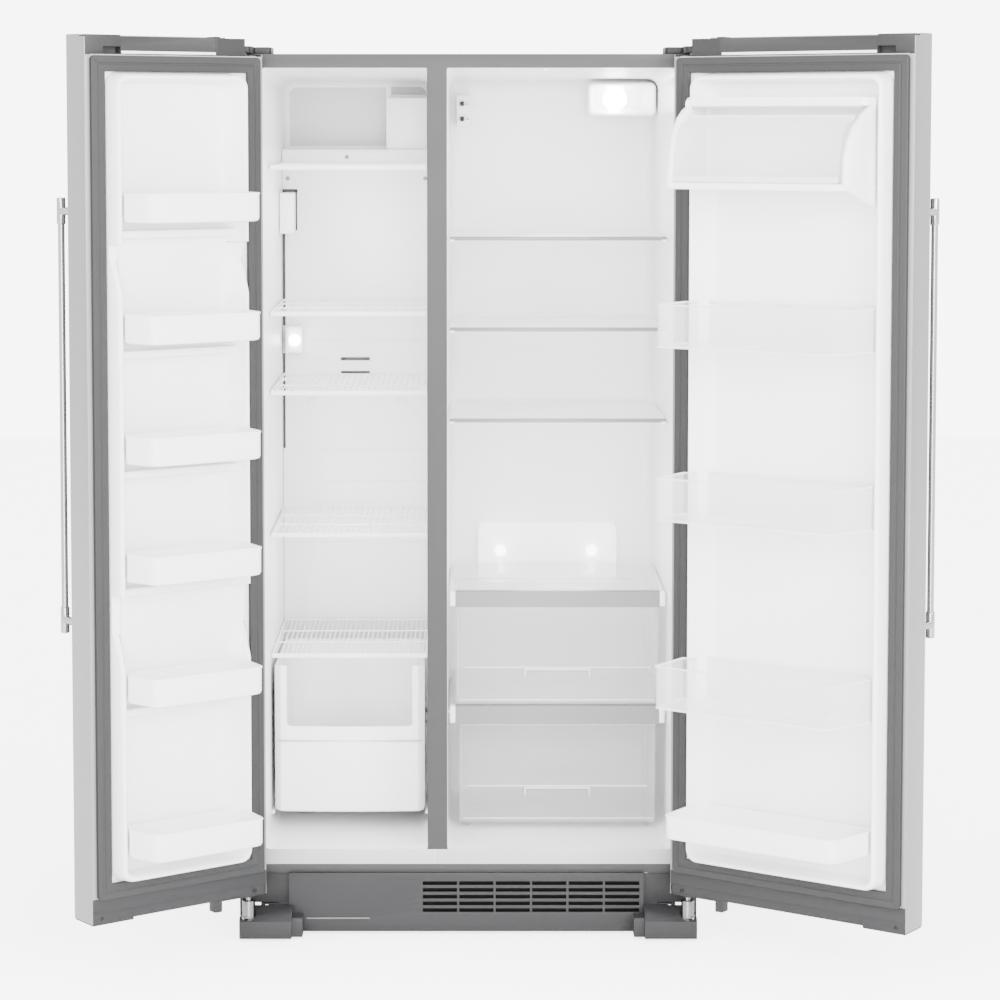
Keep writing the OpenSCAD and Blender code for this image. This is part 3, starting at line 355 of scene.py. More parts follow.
def round_outline(points: Sequence[Point], radii: Sequence[float], steps: int = 5) -> list[Point]:
    """Round the corners of a closed outline.

    Args:
        points: the sharp corners in order.
        radii: the radius of each corner.
        steps: the number of edges in each rounded corner.

    Returns:
        The rounded outline.
    """
    out: list[Point] = []
    count = len(points)
    for i, (p, r) in enumerate(zip(points, radii)):
        here = Vector(p)
        back = (Vector(points[i - 1]) - here)
        ahead = (Vector(points[(i + 1) % count]) - here)
        if r <= 0:
            out.append(p)
            continue
        reach = min(r, back.length * 0.45, ahead.length * 0.45)
        a, b = here + back.normalized() * reach, here + ahead.normalized() * reach
        for k in range(steps + 1):
            t = k / steps
            q = a * (1 - t) ** 2 + here * (2 * t * (1 - t)) + b * t ** 2
            out.append((q.x, q.y))
    return out


def soft_levels(reach: Point, soft: float) -> list[Point]:
    """The sections of a body whose two ends have rounded rims.

    Args:
        reach: where the body starts and ends.
        soft: the width of the rounded rims.

    Returns:
        Each section's inset and place.
    """
    a, b = reach
    return [(soft, a), (0.3 * soft, a + 0.3 * soft), (0, a + soft), (0, b - soft), (0.3 * soft, b - 0.3 * soft),
            (soft, b)]


class Solid:
    """A mesh under construction, in the frame's metres."""

    def __init__(self, place: Optional[Callable[[Vector], Vector]] = None) -> None:
        """Start an empty mesh.

        Args:
            place: turns each local point, in millimetres, into the frame, in metres.
        """
        self.bm = bmesh.new()
        self.place = place or (lambda v: v * MM)

    def loft(self, rings: Sequence[Sequence[Vector]], loop: bool = False) -> None:
        """Join rings of equal length into a closed skin.

        Args:
            rings: the rings, in order.
            loop: whether the last ring joins the first, instead of an end face on each.
        """
        made = [[self.bm.verts.new(self.place(Vector(v))) for v in ring] for ring in rings]
        pairs = list(zip(made, made[1:])) + ([(made[-1], made[0])] if loop else [])
        for a, b in pairs:
            for i in range(len(a)):
                j = (i + 1) % len(a)
                self.bm.faces.new((a[i], a[j], b[j], b[i]))
        if not loop:
            self.bm.faces.new(list(reversed(made[0])))
            self.bm.faces.new(made[-1])

    def prism_z(self, outline: Sequence[Point], z: Point, edge: float = 0.6) -> None:
        """Raise an outline along Z with softened rims.

        Args:
            outline: the outline in X and Y.
            z: the lower and upper height.
            edge: the width of the softened rim.
        """
        mid = Vector((sum(p[0] for p in outline) / len(outline), sum(p[1] for p in outline) / len(outline)))

        def ring(inset: float, h: float) -> Ring:
            """The outline pulled in towards its middle, at a height."""
            out = []
            for p in outline:
                d = Vector(p) - mid
                q = mid + d * max(0.0, 1 - inset / max(d.length, 1e-6))
                out.append(Vector((q.x, q.y, h)))
            return out

        self.loft([ring(inset, h) for inset, h in soft_levels(z, edge)])

    def block(self, x: Point, y: Point, z: Point, r: float = 1.0) -> None:
        """A box with rounded edges.

        Args:
            x: its extent along X.
            y: its extent along Y.
            z: its extent along Z.
            r: the radius of its edges.
        """
        r = min(r, (x[1] - x[0]) / 2.01, (y[1] - y[0]) / 2.01, (z[1] - z[0]) / 2.01)
        self.loft([[Vector((px, h, pz)) for px, pz in
                    round_ring((x[0] + g, x[1] - g), (z[0] + g, z[1] - g), max(r - g, 0.2 * r), 3)]
                   for g, h in soft_levels(y, r)])

    def blocks(self, *slabs: Slab) -> "Solid":
        """Add several boxes with rounded edges.

        Args:
            slabs: each one's extents along X, Y and Z, and the radius of its edges.

        Returns:
            This mesh, so that it can be finished in the same line.
        """
        for slab in slabs:
            self.block(*slab)
        return self

    def lathe(self, profile: Sequence[Point], centre: Vector, axis: str = "Z", steps: int = 24) -> None:
        """Turn a profile about an axis.

        Args:
            profile: points of radius and height, from one end to the other.
            centre: the foot of the axis.
            axis: X, Y or Z.
            steps: the number of sides.
        """

        def ring(r: float, h: float) -> Ring:
            """One turned circle."""
            out = []
            for i in range(steps):
                a = 2 * math.pi * i / steps
                u, v = max(r, 1e-3) * math.cos(a), max(r, 1e-3) * math.sin(a)
                flat = {"X": (h, u, v), "Y": (v, h, u), "Z": (u, v, h)}[axis]
                out.append(Vector(centre) + Vector(flat))
            return out

        self.loft([ring(r, h) for r, h in profile])

    def frame_ring(self, x: Point, z: Point, r: float, profile: Sequence[Point], steps: int = 6) -> None:
        """Sweep a profile round a rounded rectangle in X and Z.

        Args:
            x: the rectangle's extent along X.
            z: its extent along Z.
            r: its outer corner radius.
            profile: closed profile of inset and height along Y.
            steps: the number of edges in each corner.
        """
        self.loft([[Vector((px, h, pz)) for px, pz in
                    round_ring((x[0] + g, x[1] - g), (z[0] + g, z[1] - g), max(r - g, 1.0), steps)]
                   for g, h in profile], loop=True)

    def tray(self, outline: Callable[[float], list[Point]], z: Point, wall: float, lip: float = 0.0) -> None:
        """An open tray: an outside, a rounded rim and an inside.

        Args:
            outline: gives the outline in X and Y for an inset.
            z: the lower and upper height.
            wall: the thickness of wall and floor.
            lip: how far the rim stands proud.
        """
        foot = min(6.0, (z[1] - z[0]) * 0.2)
        levels = [(foot, z[0]), (foot * 0.3, z[0] + foot * 0.3), (0, z[0] + foot), (0, z[1] - 5),
                  (-lip, z[1] - 4), (-lip, z[1] - 0.8), (0.4 * wall, z[1]), (wall + lip * 0.3, z[1] - 0.6),
                  (wall, z[1] - 5), (wall, z[0] + wall + foot), (wall + 0.3 * foot, z[0] + wall + 0.3 * foot),
                  (wall + foot, z[0] + wall)]
        self.loft([[Vector((px, py, h)) for px, py in outline(g)] for g, h in levels])

    def piece(self, name: str, finish: Finish, body: str, *nodes: str, flat: bool = False) -> bpy.types.Object:
        """Turn the mesh into a finished piece that rides on a body.

        Args:
            name: the piece's name.
            finish: its finish.
            body: the CAD body that it moves with.
            nodes: the CAD nodes that it stands for.
            flat: whether to keep flat shading.

        Returns:
            The new object.
        """
        bmesh.ops.remove_doubles(self.bm, verts=self.bm.verts, dist=1e-7)
        bmesh.ops.recalc_face_normals(self.bm, faces=self.bm.faces)
        mesh = bpy.data.meshes.new(name)
        self.bm.to_mesh(mesh)
        self.bm.free()
        return settle(bpy.data.objects.new(name, mesh), finish, body, *nodes, flat=flat)


def settle(obj: bpy.types.Object, finish: Finish, body: str, *nodes: str,
           flat: bool = False) -> bpy.types.Object:
    """Give a mesh object its finish, its shading and its body.

    Args:
        obj: the object, at the origin.
        finish: its finish.
        body: the CAD body that it moves with.
        nodes: the CAD nodes that it stands for.
        flat: whether to keep flat shading.

    Returns:
        The same object.
    """
    if obj.name not in bpy.context.scene.collection.objects:
        bpy.context.scene.collection.objects.link(obj)
    mesh = obj.data
    mesh.materials.clear()
    mesh.materials.append(finish.material())
    if not flat:
        mesh.shade_smooth()
        mesh.set_sharp_from_angle(angle=SHARP)
    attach(obj, body)
    if nodes:
        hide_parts(*nodes)
    log.info("%s rides on %s, %d faces", obj.name, body, len(mesh.polygons))
    return obj


def refined(node: str, name: str, finish: Finish, body: str, edge: float = 0.6) -> bpy.types.Object:
    """Copy a CAD node, soften its edges and dress it.

    Args:
        node: the CAD node.
        name: the new piece's name.
        finish: its finish.
        body: the CAD body that it moves with.
        edge: the width of the softened edges.

    Returns:
        The new piece, which stands for the node.
    """
    bm = bmesh.new()
    bm.from_mesh(frame["nodes"][node].data)
    bmesh.ops.remove_doubles(bm, verts=bm.verts, dist=WELD)
    bmesh.ops.dissolve_degenerate(bm, edges=bm.edges, dist=1e-6)
    bmesh.ops.dissolve_limit(bm, angle_limit=math.radians(1), verts=bm.verts, edges=bm.edges,
                             delimit={"NORMAL"})
    hard = [e for e in bm.edges if e.is_manifold and e.calc_face_angle(0) > SHARP and e.calc_length() > 3e-4]
    bmesh.ops.bevel(bm, geom=hard, offset=edge * MM, segments=2, profile=0.6, affect="EDGES",
                    clamp_overlap=True)
    bmesh.ops.triangulate(bm, faces=[f for f in bm.faces if len(f.verts) > 4])
    mesh = bpy.data.meshes.new(name)
    bm.to_mesh(mesh)
    bm.free()
    return settle(bpy.data.objects.new(name, mesh), finish, body, node)


# ---- geometry nodes -------------------------------------------------------------------------


class Repeats:
    """Geometry Nodes trees for what repeats, and the plain meshes that they make."""

    @staticmethod
    def _start(name: str, sockets: Sequence[tuple[str, str]]) -> bpy.types.NodeTree:
        """Make a tree with a geometry input and output and further named inputs.

        Args:
            name: the tree's name.
            sockets: each further input's name and socket type.

        Returns:
            The tree, with its input and output nodes named in and out.
        """
        tree = bpy.data.node_groups.new(name, "GeometryNodeTree")
        tree.interface.new_socket("Geometry", in_out="INPUT", socket_type="NodeSocketGeometry")
        for label, kind in sockets:
            tree.interface.new_socket(label, in_out="INPUT", socket_type=kind)
        tree.interface.new_socket("Geometry", in_out="OUTPUT", socket_type="NodeSocketGeometry")
        tree.nodes.new("NodeGroupInput").name = "in"
        tree.nodes.new("NodeGroupOutput").name = "out"
        return tree

    @staticmethod
    def _finish(tree: bpy.types.NodeTree, source: bpy.types.NodeSocket) -> None:
        """End a tree in Realize Instances and Set Material.

        Args:
            tree: the tree.
            source: the geometry to end with.
        """
        real = add(tree, "GeometryNodeRealizeInstances", {"Geometry": source})
        dress = add(tree, "GeometryNodeSetMaterial", {"Geometry": real.outputs["Geometry"],
                                                      "Material": tree.nodes["in"].outputs["Material"]})
        tree.links.new(dress.outputs["Geometry"], tree.nodes["out"].inputs["Geometry"])

    @classmethod
    @cache
    def rod_row(cls) -> bpy.types.NodeTree:
        """A row of equal round rods, at a fixed step.

        Returns:
            A tree with inputs Count, Origin, Step, Run, Radius and Material.
        """
        tree = cls._start("rod_row", [("Count", "NodeSocketInt"), ("Origin", "NodeSocketVector"),
                                      ("Step", "NodeSocketVector"), ("Run", "NodeSocketVector"),
                                      ("Radius", "NodeSocketFloat"), ("Material", "NodeSocketMaterial")])
        given = tree.nodes["in"].outputs
        line = add(tree, "GeometryNodeMeshLine", {"Count": given["Count"], "Start Location": given["Origin"],
                                                  "Offset": given["Step"]}, mode="OFFSET")
        rod = add(tree, "GeometryNodeCurvePrimitiveLine", {"End": given["Run"]})
        circle = add(tree, "GeometryNodeCurvePrimitiveCircle", {"Resolution": 10, "Radius": given["Radius"]})
        skin = add(tree, "GeometryNodeCurveToMesh", {"Fill Caps": True, "Curve": rod.outputs["Curve"],
                                                     "Profile Curve": circle.outputs["Curve"]})
        put = add(tree, "GeometryNodeInstanceOnPoints", {"Points": line.outputs["Mesh"],
                                                         "Instance": skin.outputs["Mesh"]})
        cls._finish(tree, put.outputs["Instances"])
        return tree

    @classmethod
    @cache
    def copies(cls) -> bpy.types.NodeTree:
        """Copies of one small mesh on the points of another, turned alike.

        Returns:
            A tree with inputs Pattern, Turn and Material.
        """
        tree = cls._start("copies", [("Pattern", "NodeSocketObject"), ("Turn", "NodeSocketVector"),
                                     ("Material", "NodeSocketMaterial")])
        given = tree.nodes["in"].outputs
        small = add(tree, "GeometryNodeObjectInfo", {"Object": given["Pattern"]})
        points = add(tree, "GeometryNodeMeshToPoints", {"Mesh": given["Geometry"]})
        turn = add(tree, "FunctionNodeEulerToRotation", {"Euler": given["Turn"]})
        put = add(tree, "GeometryNodeInstanceOnPoints", {"Points": points.outputs["Points"],
                                                         "Instance": small.outputs["Geometry"],
                                                         "Rotation": turn.outputs["Rotation"]})
        cls._finish(tree, put.outputs["Instances"])
        return tree

    @staticmethod
    def run(tree: bpy.types.NodeTree, name: str, values: dict[str, object],
            base: Optional[bpy.types.Mesh] = None) -> bpy.types.Object:
        """Evaluate a tree once and keep the plain mesh.

        Args:
            tree: the tree.
            name: the new object's name.
            values: the tree's inputs by name.
            base: the mesh that goes in, if the tree needs one.

        Returns:
            An object with the resulting mesh and no modifier.
        """
        holder = bpy.data.objects.new(name + "_maker", base or bpy.data.meshes.new(name + "_base"))
        bpy.context.scene.collection.objects.link(holder)
        mod = holder.modifiers.new("make", "NODES")
        mod.node_group = tree
        for item in tree.interface.items_tree:
            if item.item_type == "SOCKET" and item.in_out == "INPUT" and item.name in values:
                mod[item.identifier] = values[item.name]
        holder.update_tag()
        graph = bpy.context.evaluated_depsgraph_get()
        graph.update()
        mesh = bpy.data.meshes.new_from_object(holder.evaluated_get(graph))
        holder.modifiers.remove(mod)
        bpy.data.objects.remove(holder)
        mesh.name = name
        return bpy.data.objects.new(name, mesh)


def rods(name: str, finish: Finish, count: int, origin: Vector, step: Vector, run: Vector,
         radius: float) -> bpy.types.Object:
    """A row of rods as a plain mesh.

    Args:
        name: the object's name.
        finish: the finish.
        count: the number of rods.
        origin: the start of the first rod, in metres.
        step: from one rod to the next.
        run: from a rod's start to its end.
        radius: the rods' radius.

    Returns:
        The new object, not yet riding on a body.
    """
    return Repeats.run(Repeats.rod_row(), name, {"Count": count, "Origin": origin, "Step": step, "Run": run,
                                                 "Radius": radius, "Material": finish.material()})


def joined(name: str, parts: Iterable[bpy.types.Object]) -> bpy.types.Object:
    """Merge loose mesh objects into one.

    Args:
        name: the new object's name.
        parts: the objects, which are used up.

    Returns:
        The merged object.
    """
    bm = bmesh.new()
    for part in parts:
        bm.from_mesh(part.data)
        bpy.data.objects.remove(part)
    mesh = bpy.data.meshes.new(name)
    bm.to_mesh(mesh)
    bm.free()
    return bpy.data.objects.new(name, mesh)


# ---- places ---------------------------------------------------------------------------------


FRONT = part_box("cabinet_shell")[0].y / MM


def in_cabinet(v: Vector) -> Vector:
    """Place a point whose Y is counted from the cabinet's front plane."""
    return Vector((v.x, v.y + FRONT, v.z)) * MM


def span(node: str) -> tuple[Point, Point, Point]:
    """Where a cabinet node is.

    Args:
        node: the CAD node.

    Returns:
        Its extents along X, Y from the cabinet's front plane, and Z, in millimetres.
    """
    lo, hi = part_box(node)
    x, y, z = ((lo[i] / MM, hi[i] / MM) for i in range(3))
    return x, (y[0] - FRONT, y[1] - FRONT), z


@dataclass(frozen=True)
class DoorPlace:
    """A door as it stands open. Local X runs from its hinge edge, local Y from its inner face."""

    side: Side
    body: str
    width: float
    pin_in: float = 21.0
    pin_back: float = 32.0

    def at(self, v: Vector) -> Vector:
        """Place a local point in the frame.

        Args:
            v: the local point, in millimetres.

        Returns:
            The point in the frame, in metres.
        """
        joint = next(j for j in frame["joints"] if j["child"] == self.body)
        turn = math.radians(-joint["range_deg"][0])
        pivot = Vector(joint["pos_m"]) / MM
        x, y = v.x - self.pin_in, v.y + self.pin_back
        c, s = math.cos(turn), math.sin(turn)
        return Vector((pivot.x - self.side.value * (x * c + y * s), pivot.y - x * s + y * c, v.z)) * MM

    def solid(self) -> Solid:
        """Start an empty mesh in this door's own axes."""
        return Solid(self.at)


def tall_ring(x: Point, z: Point, r: float, stations: Sequence[float] = (), steps: int = 5) -> list[Point]:
    """A rounded rectangle with extra points at given heights up both sides.

    Args:
        x: its extent along X.
        z: its extent along Z.
        r: its corner radius.
        stations: the heights of the extra points, from low to high.
        steps: the number of edges in each corner.

    Returns:
        The points of the outline.
    """
    ring = round_ring(x, z, r, steps)
    n = steps + 1
    up = [(x[1], s) for s in stations]
    down = [(x[0], s) for s in reversed(stations)]
    return ring[:n] + up + ring[n:3 * n] + down + ring[3 * n:]


def screws(name: str, finish: Finish, spots: Sequence[Vector], radius: float,
           turn: Vector = Vector((0, 0, 0))) -> bpy.types.Object:
    """Small crossed screw heads.

    Args:
        name: the object's name.
        finish: their finish.
        spots: where they sit, in metres; each head faces +Z before it is turned.
        radius: the radius of a head, in millimetres.
        turn: the turn of every head.

    Returns:
        The heads as one plain mesh object.
    """
    head = Solid(lambda v: v * MM)
    head.lathe([(radius, 0), (radius, radius * 0.25), (radius * 0.8, radius * 0.5), (radius * 0.4, radius * 0.6),
                (radius * 0.32, radius * 0.25), (0, radius * 0.2)], Vector((0, 0, 0)), "Z", 16)
    head.block((-radius * 0.55, radius * 0.55), (-radius * 0.1, radius * 0.1),
               (radius * 0.28, radius * 0.61), 0.1)
    mesh = bpy.data.meshes.new(name + "_head")
    head.bm.to_mesh(mesh)
    head.bm.free()
    pattern = bpy.data.objects.new(name + "_head", mesh)
    spot_mesh = bpy.data.meshes.new(name + "_spots")
    spot_mesh.from_pydata([tuple(s) for s in spots], [], [])
    made = Repeats.run(Repeats.copies(), name, {"Pattern": pattern, "Turn": turn,
                                               "Material": finish.material()}, spot_mesh)
    bpy.data.objects.remove(pattern)
    return made


# ---- cabinet --------------------------------------------------------------------------------


@dataclass(frozen=True)
class Compartment:
    """The moulded liner of one side of the cabinet."""

    node: str
    x: Point
    sill: Point
    ledges: tuple[float, ...]
    floor: float = 171.0
    ceiling: float = 1716.0
    slope: float = 17.0
    depth: float = 685.0
    bay: tuple[float, float, float] = (500.0, 560.0, 300.0)
    corner: float = 22.0
    wall: float = 2.0

    def heights(self, y: float) -> Point:
        """The floor and the ceiling at a depth.

        Args:
            y: the distance from the cabinet's front plane.

        Returns:
            The height of each.
        """
        t = min(max((y - self.bay[0] + 6) / (self.bay[1] - self.bay[0] + 12), 0.0), 1.0)
        soft = t * t * (3 - 2 * t) * 0.35 + t * 0.65
        drop = self.slope * max(0.0, y - 60) / (self.depth - 60)
        return self.floor + (self.bay[2] - self.floor) * soft, self.ceiling - drop

    def ring(self, y: float, grow: float, inset: float, r: float) -> Ring:
        """One section of the liner.

        Args:
            y: its distance from the cabinet's front plane.
            grow: how far it stands outside the inner face.
            inset: how far it is pulled in.
            r: its corner radius.

        Returns:
            The section's points.
        """
        lo, hi = self.heights(y)
        g = grow - inset
        depth = min(y + grow, self.depth + self.wall) if grow else y
        return [Vector((px, depth, pz)) for px, pz in
                round_ring((self.x[0] - g, self.x[1] + g), (lo - g, hi + g), r + grow, 6)]

    def build(self) -> None:
        """Build the liner with its ledges and its sill; the sill is liner white darkened to paint the shade on it.
        """
        s = Solid(in_cabinet)
        even = (60, 200, 360, 480, 494, 503, 515, 530, 545, 557, 566, 600, 663)
        stops = [(1.3, 0, 7), (3, 0, 8), (10, 0, 12), (30, 0, 18)] + [(y, 0, self.corner) for y in even] + \
                [(674, 2.5, 21), (681, 8, 18), (684.5, 15, 14), (self.depth, 24, 10)]
        outer = [self.ring(y, self.wall, i, r) for y, i, r in reversed(stops)]
        inner = [self.ring(y, 0, i, r) for y, i, r in stops]
        s.loft(outer + inner)
        for z in self.ledges:
            for x in ((self.x[0] - 0.5, self.x[0] + 7), (self.x[1] - 7, self.x[1] + 0.5)):
                s.block(x, (172, 542), (z - 6, z), 2.2)
        s.piece(self.node + "_moulding", LINER_WHITE, "cabinet", self.node)
        # The sill gets the darkened white: painted shade.
        Solid(in_cabinet).blocks((self.sill, (0, 14), (141, self.floor - 0.2), 0.8)).piece(
            self.node + "_sill", SILL_SHADE_WHITE, "cabinet")


@dataclass(frozen=True)
class Base:
    """The steel frame, the grille with its louvres, and the covers over the front feet."""

    slot_step: float = 13.6
    slots: int = 5
    grille_x: Point = (-356.0, 349.0)

    def build(self) -> None:
        """Build the base."""
        # The frame is darkened to paint the shade in the recesses beside the grille.
        refined("base_frame", "base_frame_steel", FRAME_SHADE_STEEL, "cabinet", 0.5)
        refined("foot_covers", "foot_cover_mouldings", BASE_GREY, "cabinet", 2.0)
        refined("leveling_legs", "leveling_leg_bolts", ZINC, "cabinet", 0.8)
        for side in ("left", "right"):
            refined(f"rear_roller_{side}", f"rear_roller_{side}_tyre", DARK, f"rear_roller_{side}", 1.5)
        refined("base_grille", "base_grille_moulding", BASE_GREY, "cabinet", 0.9)
        y, z = span("base_grille")[1:]
        x = self.grille_x
        # The louvre blades are near-black: painted shade behind the openings.
        blades = Solid(in_cabinet)
        for row in range(self.slots):
            top = 53.5 + row * self.slot_step
            lean = [Vector((0, -6.4, top + 1.4)), Vector((0, -5.2, top + 1.8)), Vector((0, -1.2, top - 6.6)),
                    Vector((0, -2.4, top - 7.0))]
            blades.loft([[p + Vector((h, 0, 0)) for p in lean] for h in (x[0] + 262, x[1] - 3)])
        blades.piece("grille_louvre_blades", INSIDE_SHADE_BLACK, "cabinet")
        trim = Solid(in_cabinet)
        trim.frame_ring((x[0] + 3, x[1] - 3), (z[0] + 3, z[1] - 3), 3,
                        [(0, y[0] + 1.2), (0.8, y[0] + 0.1), (2.0, y[0] + 0.1), (2.8, y[0] + 1.2)], 3)
        trim.piece("base_grille_border", CABINET_GREY, "cabinet")
        Solid(in_cabinet).blocks(((x[0] + 35, x[0] + 160), (y[0] + 0.05, y[0] + 1), (33.0, 34.6), 0.3)).piece(
            "base_grille_pull", FLANGE_GREY, "cabinet")
        # A near-black sheet behind the grille and a strip above its pull: painted shade.
        Solid(in_cabinet).blocks(
            ((x[0] + 5, x[1] - 5), (-1.1, -0.2), (z[0] + 6, z[1] - 6), 0.3),
            ((x[0] + 34.5, x[0] + 160.5), (y[0] + 0.5, y[0] + 1.1), (34.4, 36), 0.2)).piece(
            "base_grille_backing", INSIDE_SHADE_BLACK, "cabinet")


class Cabinet:
    """The steel cabinet, its hinges, liners and base."""

    compartments = (
        Compartment("freezer_liner", (-402.0, -80.5), (-402.0, -61.0),
                    (1521.1, 1226.0, 1065.9, 777.0, 529.9, 207.5)),
        Compartment("fridge_liner", (-41.5, 404.0), (-61.0, 404.0),
                    (1375.3, 1191.9, 1007.4, 649.5, 414.5)),
    )

    def build(self) -> None:
        """Build everything that the cabinet carries on its outside, and its liners."""
        refined("cabinet_shell", "cabinet_painted_steel", CABINET_GREY, "cabinet", 0.5)
        refined("rear_panel", "rear_panel_sheet", ZINC, "cabinet", 0.3)
        refined("upper_hinges", "upper_hinge_plates", ZINC, "cabinet", 0.7)
        covers = Solid(in_cabinet)
        for side in (-1, 1):
            sharp = [(448, -59), (418, -59), (418, 20), (385, 20), (385, 108), (448, 108)]
            outline = round_outline([(side * a, b) for a, b in sharp], [15, 15, 6, 8, 8, 8], 6)
            covers.prism_z(outline, (1743.2, 1756.8), 1.6)
        covers.piece("hinge_cover_mouldings", DARK, "cabinet", "hinge_covers")
        refined("lower_hinges", "lower_hinge_brackets", BRIGHT_STEEL, "cabinet", 0.7)
        for compartment in self.compartments:
            compartment.build()
        Base().build()


@dataclass(frozen=True)
class WireShelf:
    """A welded wire shelf with a deep front bar."""

    node: str
    wires: int = 25
    radius: float = 1.6

    def build(self) -> None:
        """Build the wires, the cross rods and the front bar."""
        x, y, z = span(self.node)
        r = self.radius
        zr = z[1] - 1.8
        inner = (x[0] + 8, x[1] - 8)
        step = (inner[1] - inner[0]) / (self.wires - 1)
        start = in_cabinet(Vector((inner[0], y[0] + 2, zr - 2.6)))
        long = rods(self.node + "_long", WHITE_WIRE, self.wires, start, Vector((step * MM, 0, 0)),
                    Vector((0, (y[1] - y[0] - 4) * MM, 0)), r * 0.8 * MM)
        cross = rods(self.node + "_cross", WHITE_WIRE, 4, in_cabinet(Vector((x[0], y[0] + 3, zr))),
                     Vector((0, (y[1] - y[0] - 6) / 3 * MM, 0)), Vector(((x[1] - x[0]) * MM, 0, 0)), r * MM)
        sides = rods(self.node + "_sides", WHITE_WIRE, 2, in_cabinet(Vector((x[0] + 2.2, y[0], zr))),
                     Vector(((x[1] - x[0] - 4.4) * MM, 0, 0)), Vector((0, (y[1] - y[0]) * MM, 0)), 2.1 * MM)
        bar = Solid(in_cabinet)
        bar.block((x[0] + 1, x[1] - 1), (y[0] + 0.5, y[0] + 5), (z[0] + 0.2, z[1] - 0.1), 2.0)
        front = bpy.data.meshes.new(self.node + "_bar")
        bmesh.ops.recalc_face_normals(bar.bm, faces=bar.bm.faces)
        bar.bm.to_mesh(front)
        bar.bm.free()
        whole = joined(self.node + "_wires", [long, cross, sides,
                                              bpy.data.objects.new(self.node + "_bar", front)])
        settle(whole, WHITE_WIRE, self.node, self.node)


@dataclass(frozen=True)
class Cooling:
    """The compressor, coils, fans and the covers in front of the evaporator."""

    # Lowest height of the painted shadow strip along the cover's edge.
    shadow_low: float = 905.0
    duct_foot: Slab = ((-401.2, -81.2), (593.3, 683.7), (1519.6, 1552.8), 3)
    duct_tower: Slab = ((-177.3, -88.7), (607.3, 683.7), (1545, 1663.7), 4)
    # A thin grey plate above the tower: painted shadow between its top and the ceiling.
    duct_shadow_bar: Slab = ((-168, -92), (682.6, 684.4), (1671, 1688), 0.6)
    # A greyer plate on the recess's back wall: painted shade.
    recess_shading: Slab = ((-392, -180), (683.2, 684.6), (1560, 1688), 0.6)

    def build(self) -> None:
        """Build the cooling parts."""
        refined("compressor", "compressor_shell", ENAMEL, "cabinet", 1.5)
        refined("condenser_coil", "condenser_tubes", ENAMEL, "cabinet", 0.3)
        for node in ("condenser_fan_motor", "drain_pan", "evaporator_fan_motor"):
            refined(node, node + "_moulding", DARK, "cabinet", 0.8)
        refined("condenser_fan_blade", "condenser_fan_vanes", DARK, "condenser_fan", 0.5)
        refined("evaporator_fan_blade", "evaporator_fan_vanes", LINER_WHITE, "evaporator_fan", 0.5)
        refined("evaporator", "evaporator_tubes", FIN_ALLOY, "cabinet", 0.1)
        refined("evaporator_cover", "evaporator_cover_moulding", LINER_WHITE, "cabinet", 1.2)
        Solid(in_cabinet).blocks(self.duct_foot, self.duct_tower).piece(
            "air_duct_moulding", LINER_WHITE, "cabinet", "air_duct_cover")
        # The recess's back wall gets the darkened white: painted shade.
        Solid(in_cabinet).blocks(self.recess_shading).piece("freezer_recess_back", RECESS_SHADE_WHITE, "cabinet")
        # Painted shadow above the duct tower, as a grey plate on the back wall.
        Solid(in_cabinet).blocks(self.duct_shadow_bar).piece("air_duct_gap", SHADOW_LINE_GREY, "cabinet")
        self.cover_details()

    def cover_details(self) -> None:
        """Raise the cover's embossed panels, add its tabs and screws, and lay dark strips of painted shadow along
        its edge and round the wall box.
        """
        x, y = span("evaporator_cover")[:2]
        s = Solid(in_cabinet)
        s.frame_ring((x[0] + 5, x[1] - 5), (830, 905), 6,
                     [(0, y[0] + 0.4), (1.5, y[0] - 1.2), (4.5, y[0] - 1.2), (6, y[0] + 0.4)], 4)
        for low in (700, 1139, 1229):
            s.block((x[0] + 30, x[1] - 4), (y[0] - 1.4, y[0] + 0.5), (low, low + 4), 1.2)
        for tab in (x[0] + 62, x[1] - 62):
            s.block((tab - 9, tab + 9), (y[0] - 5, y[0] + 1), (1001, 1013), 1.6)
        s.piece("evaporator_cover_embossing", LINER_WHITE, "cabinet")
        # Flat dark strips on the cover's face: painted shadow along its edge by the liner wall, and an L of painted
        # shadow round the wall box.
        shade_strips = Solid(in_cabinet)
        for near, far, z in ((0.4, 6, (1172, 1450)), (0.4, 5, (self.shadow_low, 1112)), (0.4, 33, (1460, 1467)),
                             (28, 32, (1378, 1466))):
            shade_strips.block((x[0] + near, x[0] + far), (y[0] - 0.6, y[0] + 0.4), z, 0.3)
        shade_strips.piece("evaporator_cover_gaps", CREVICE_SHADE_DARK, "cabinet")
        mid = (x[0] + x[1]) / 2
        spots = [in_cabinet(Vector(v)) for v in ((x[0] + 12, y[0], 330), (x[1] - 12, y[0], 330),
                                                 (x[0] + 12, y[0], 1490), (x[1] - 12, y[0], 1490),
                                                 (mid - 20, y[0] - 14, 1536))]
        settle(screws("evaporator_cover_screws", ZINC, spots, 4.5, Vector((math.pi / 2, 0, 0))), ZINC, "cabinet")


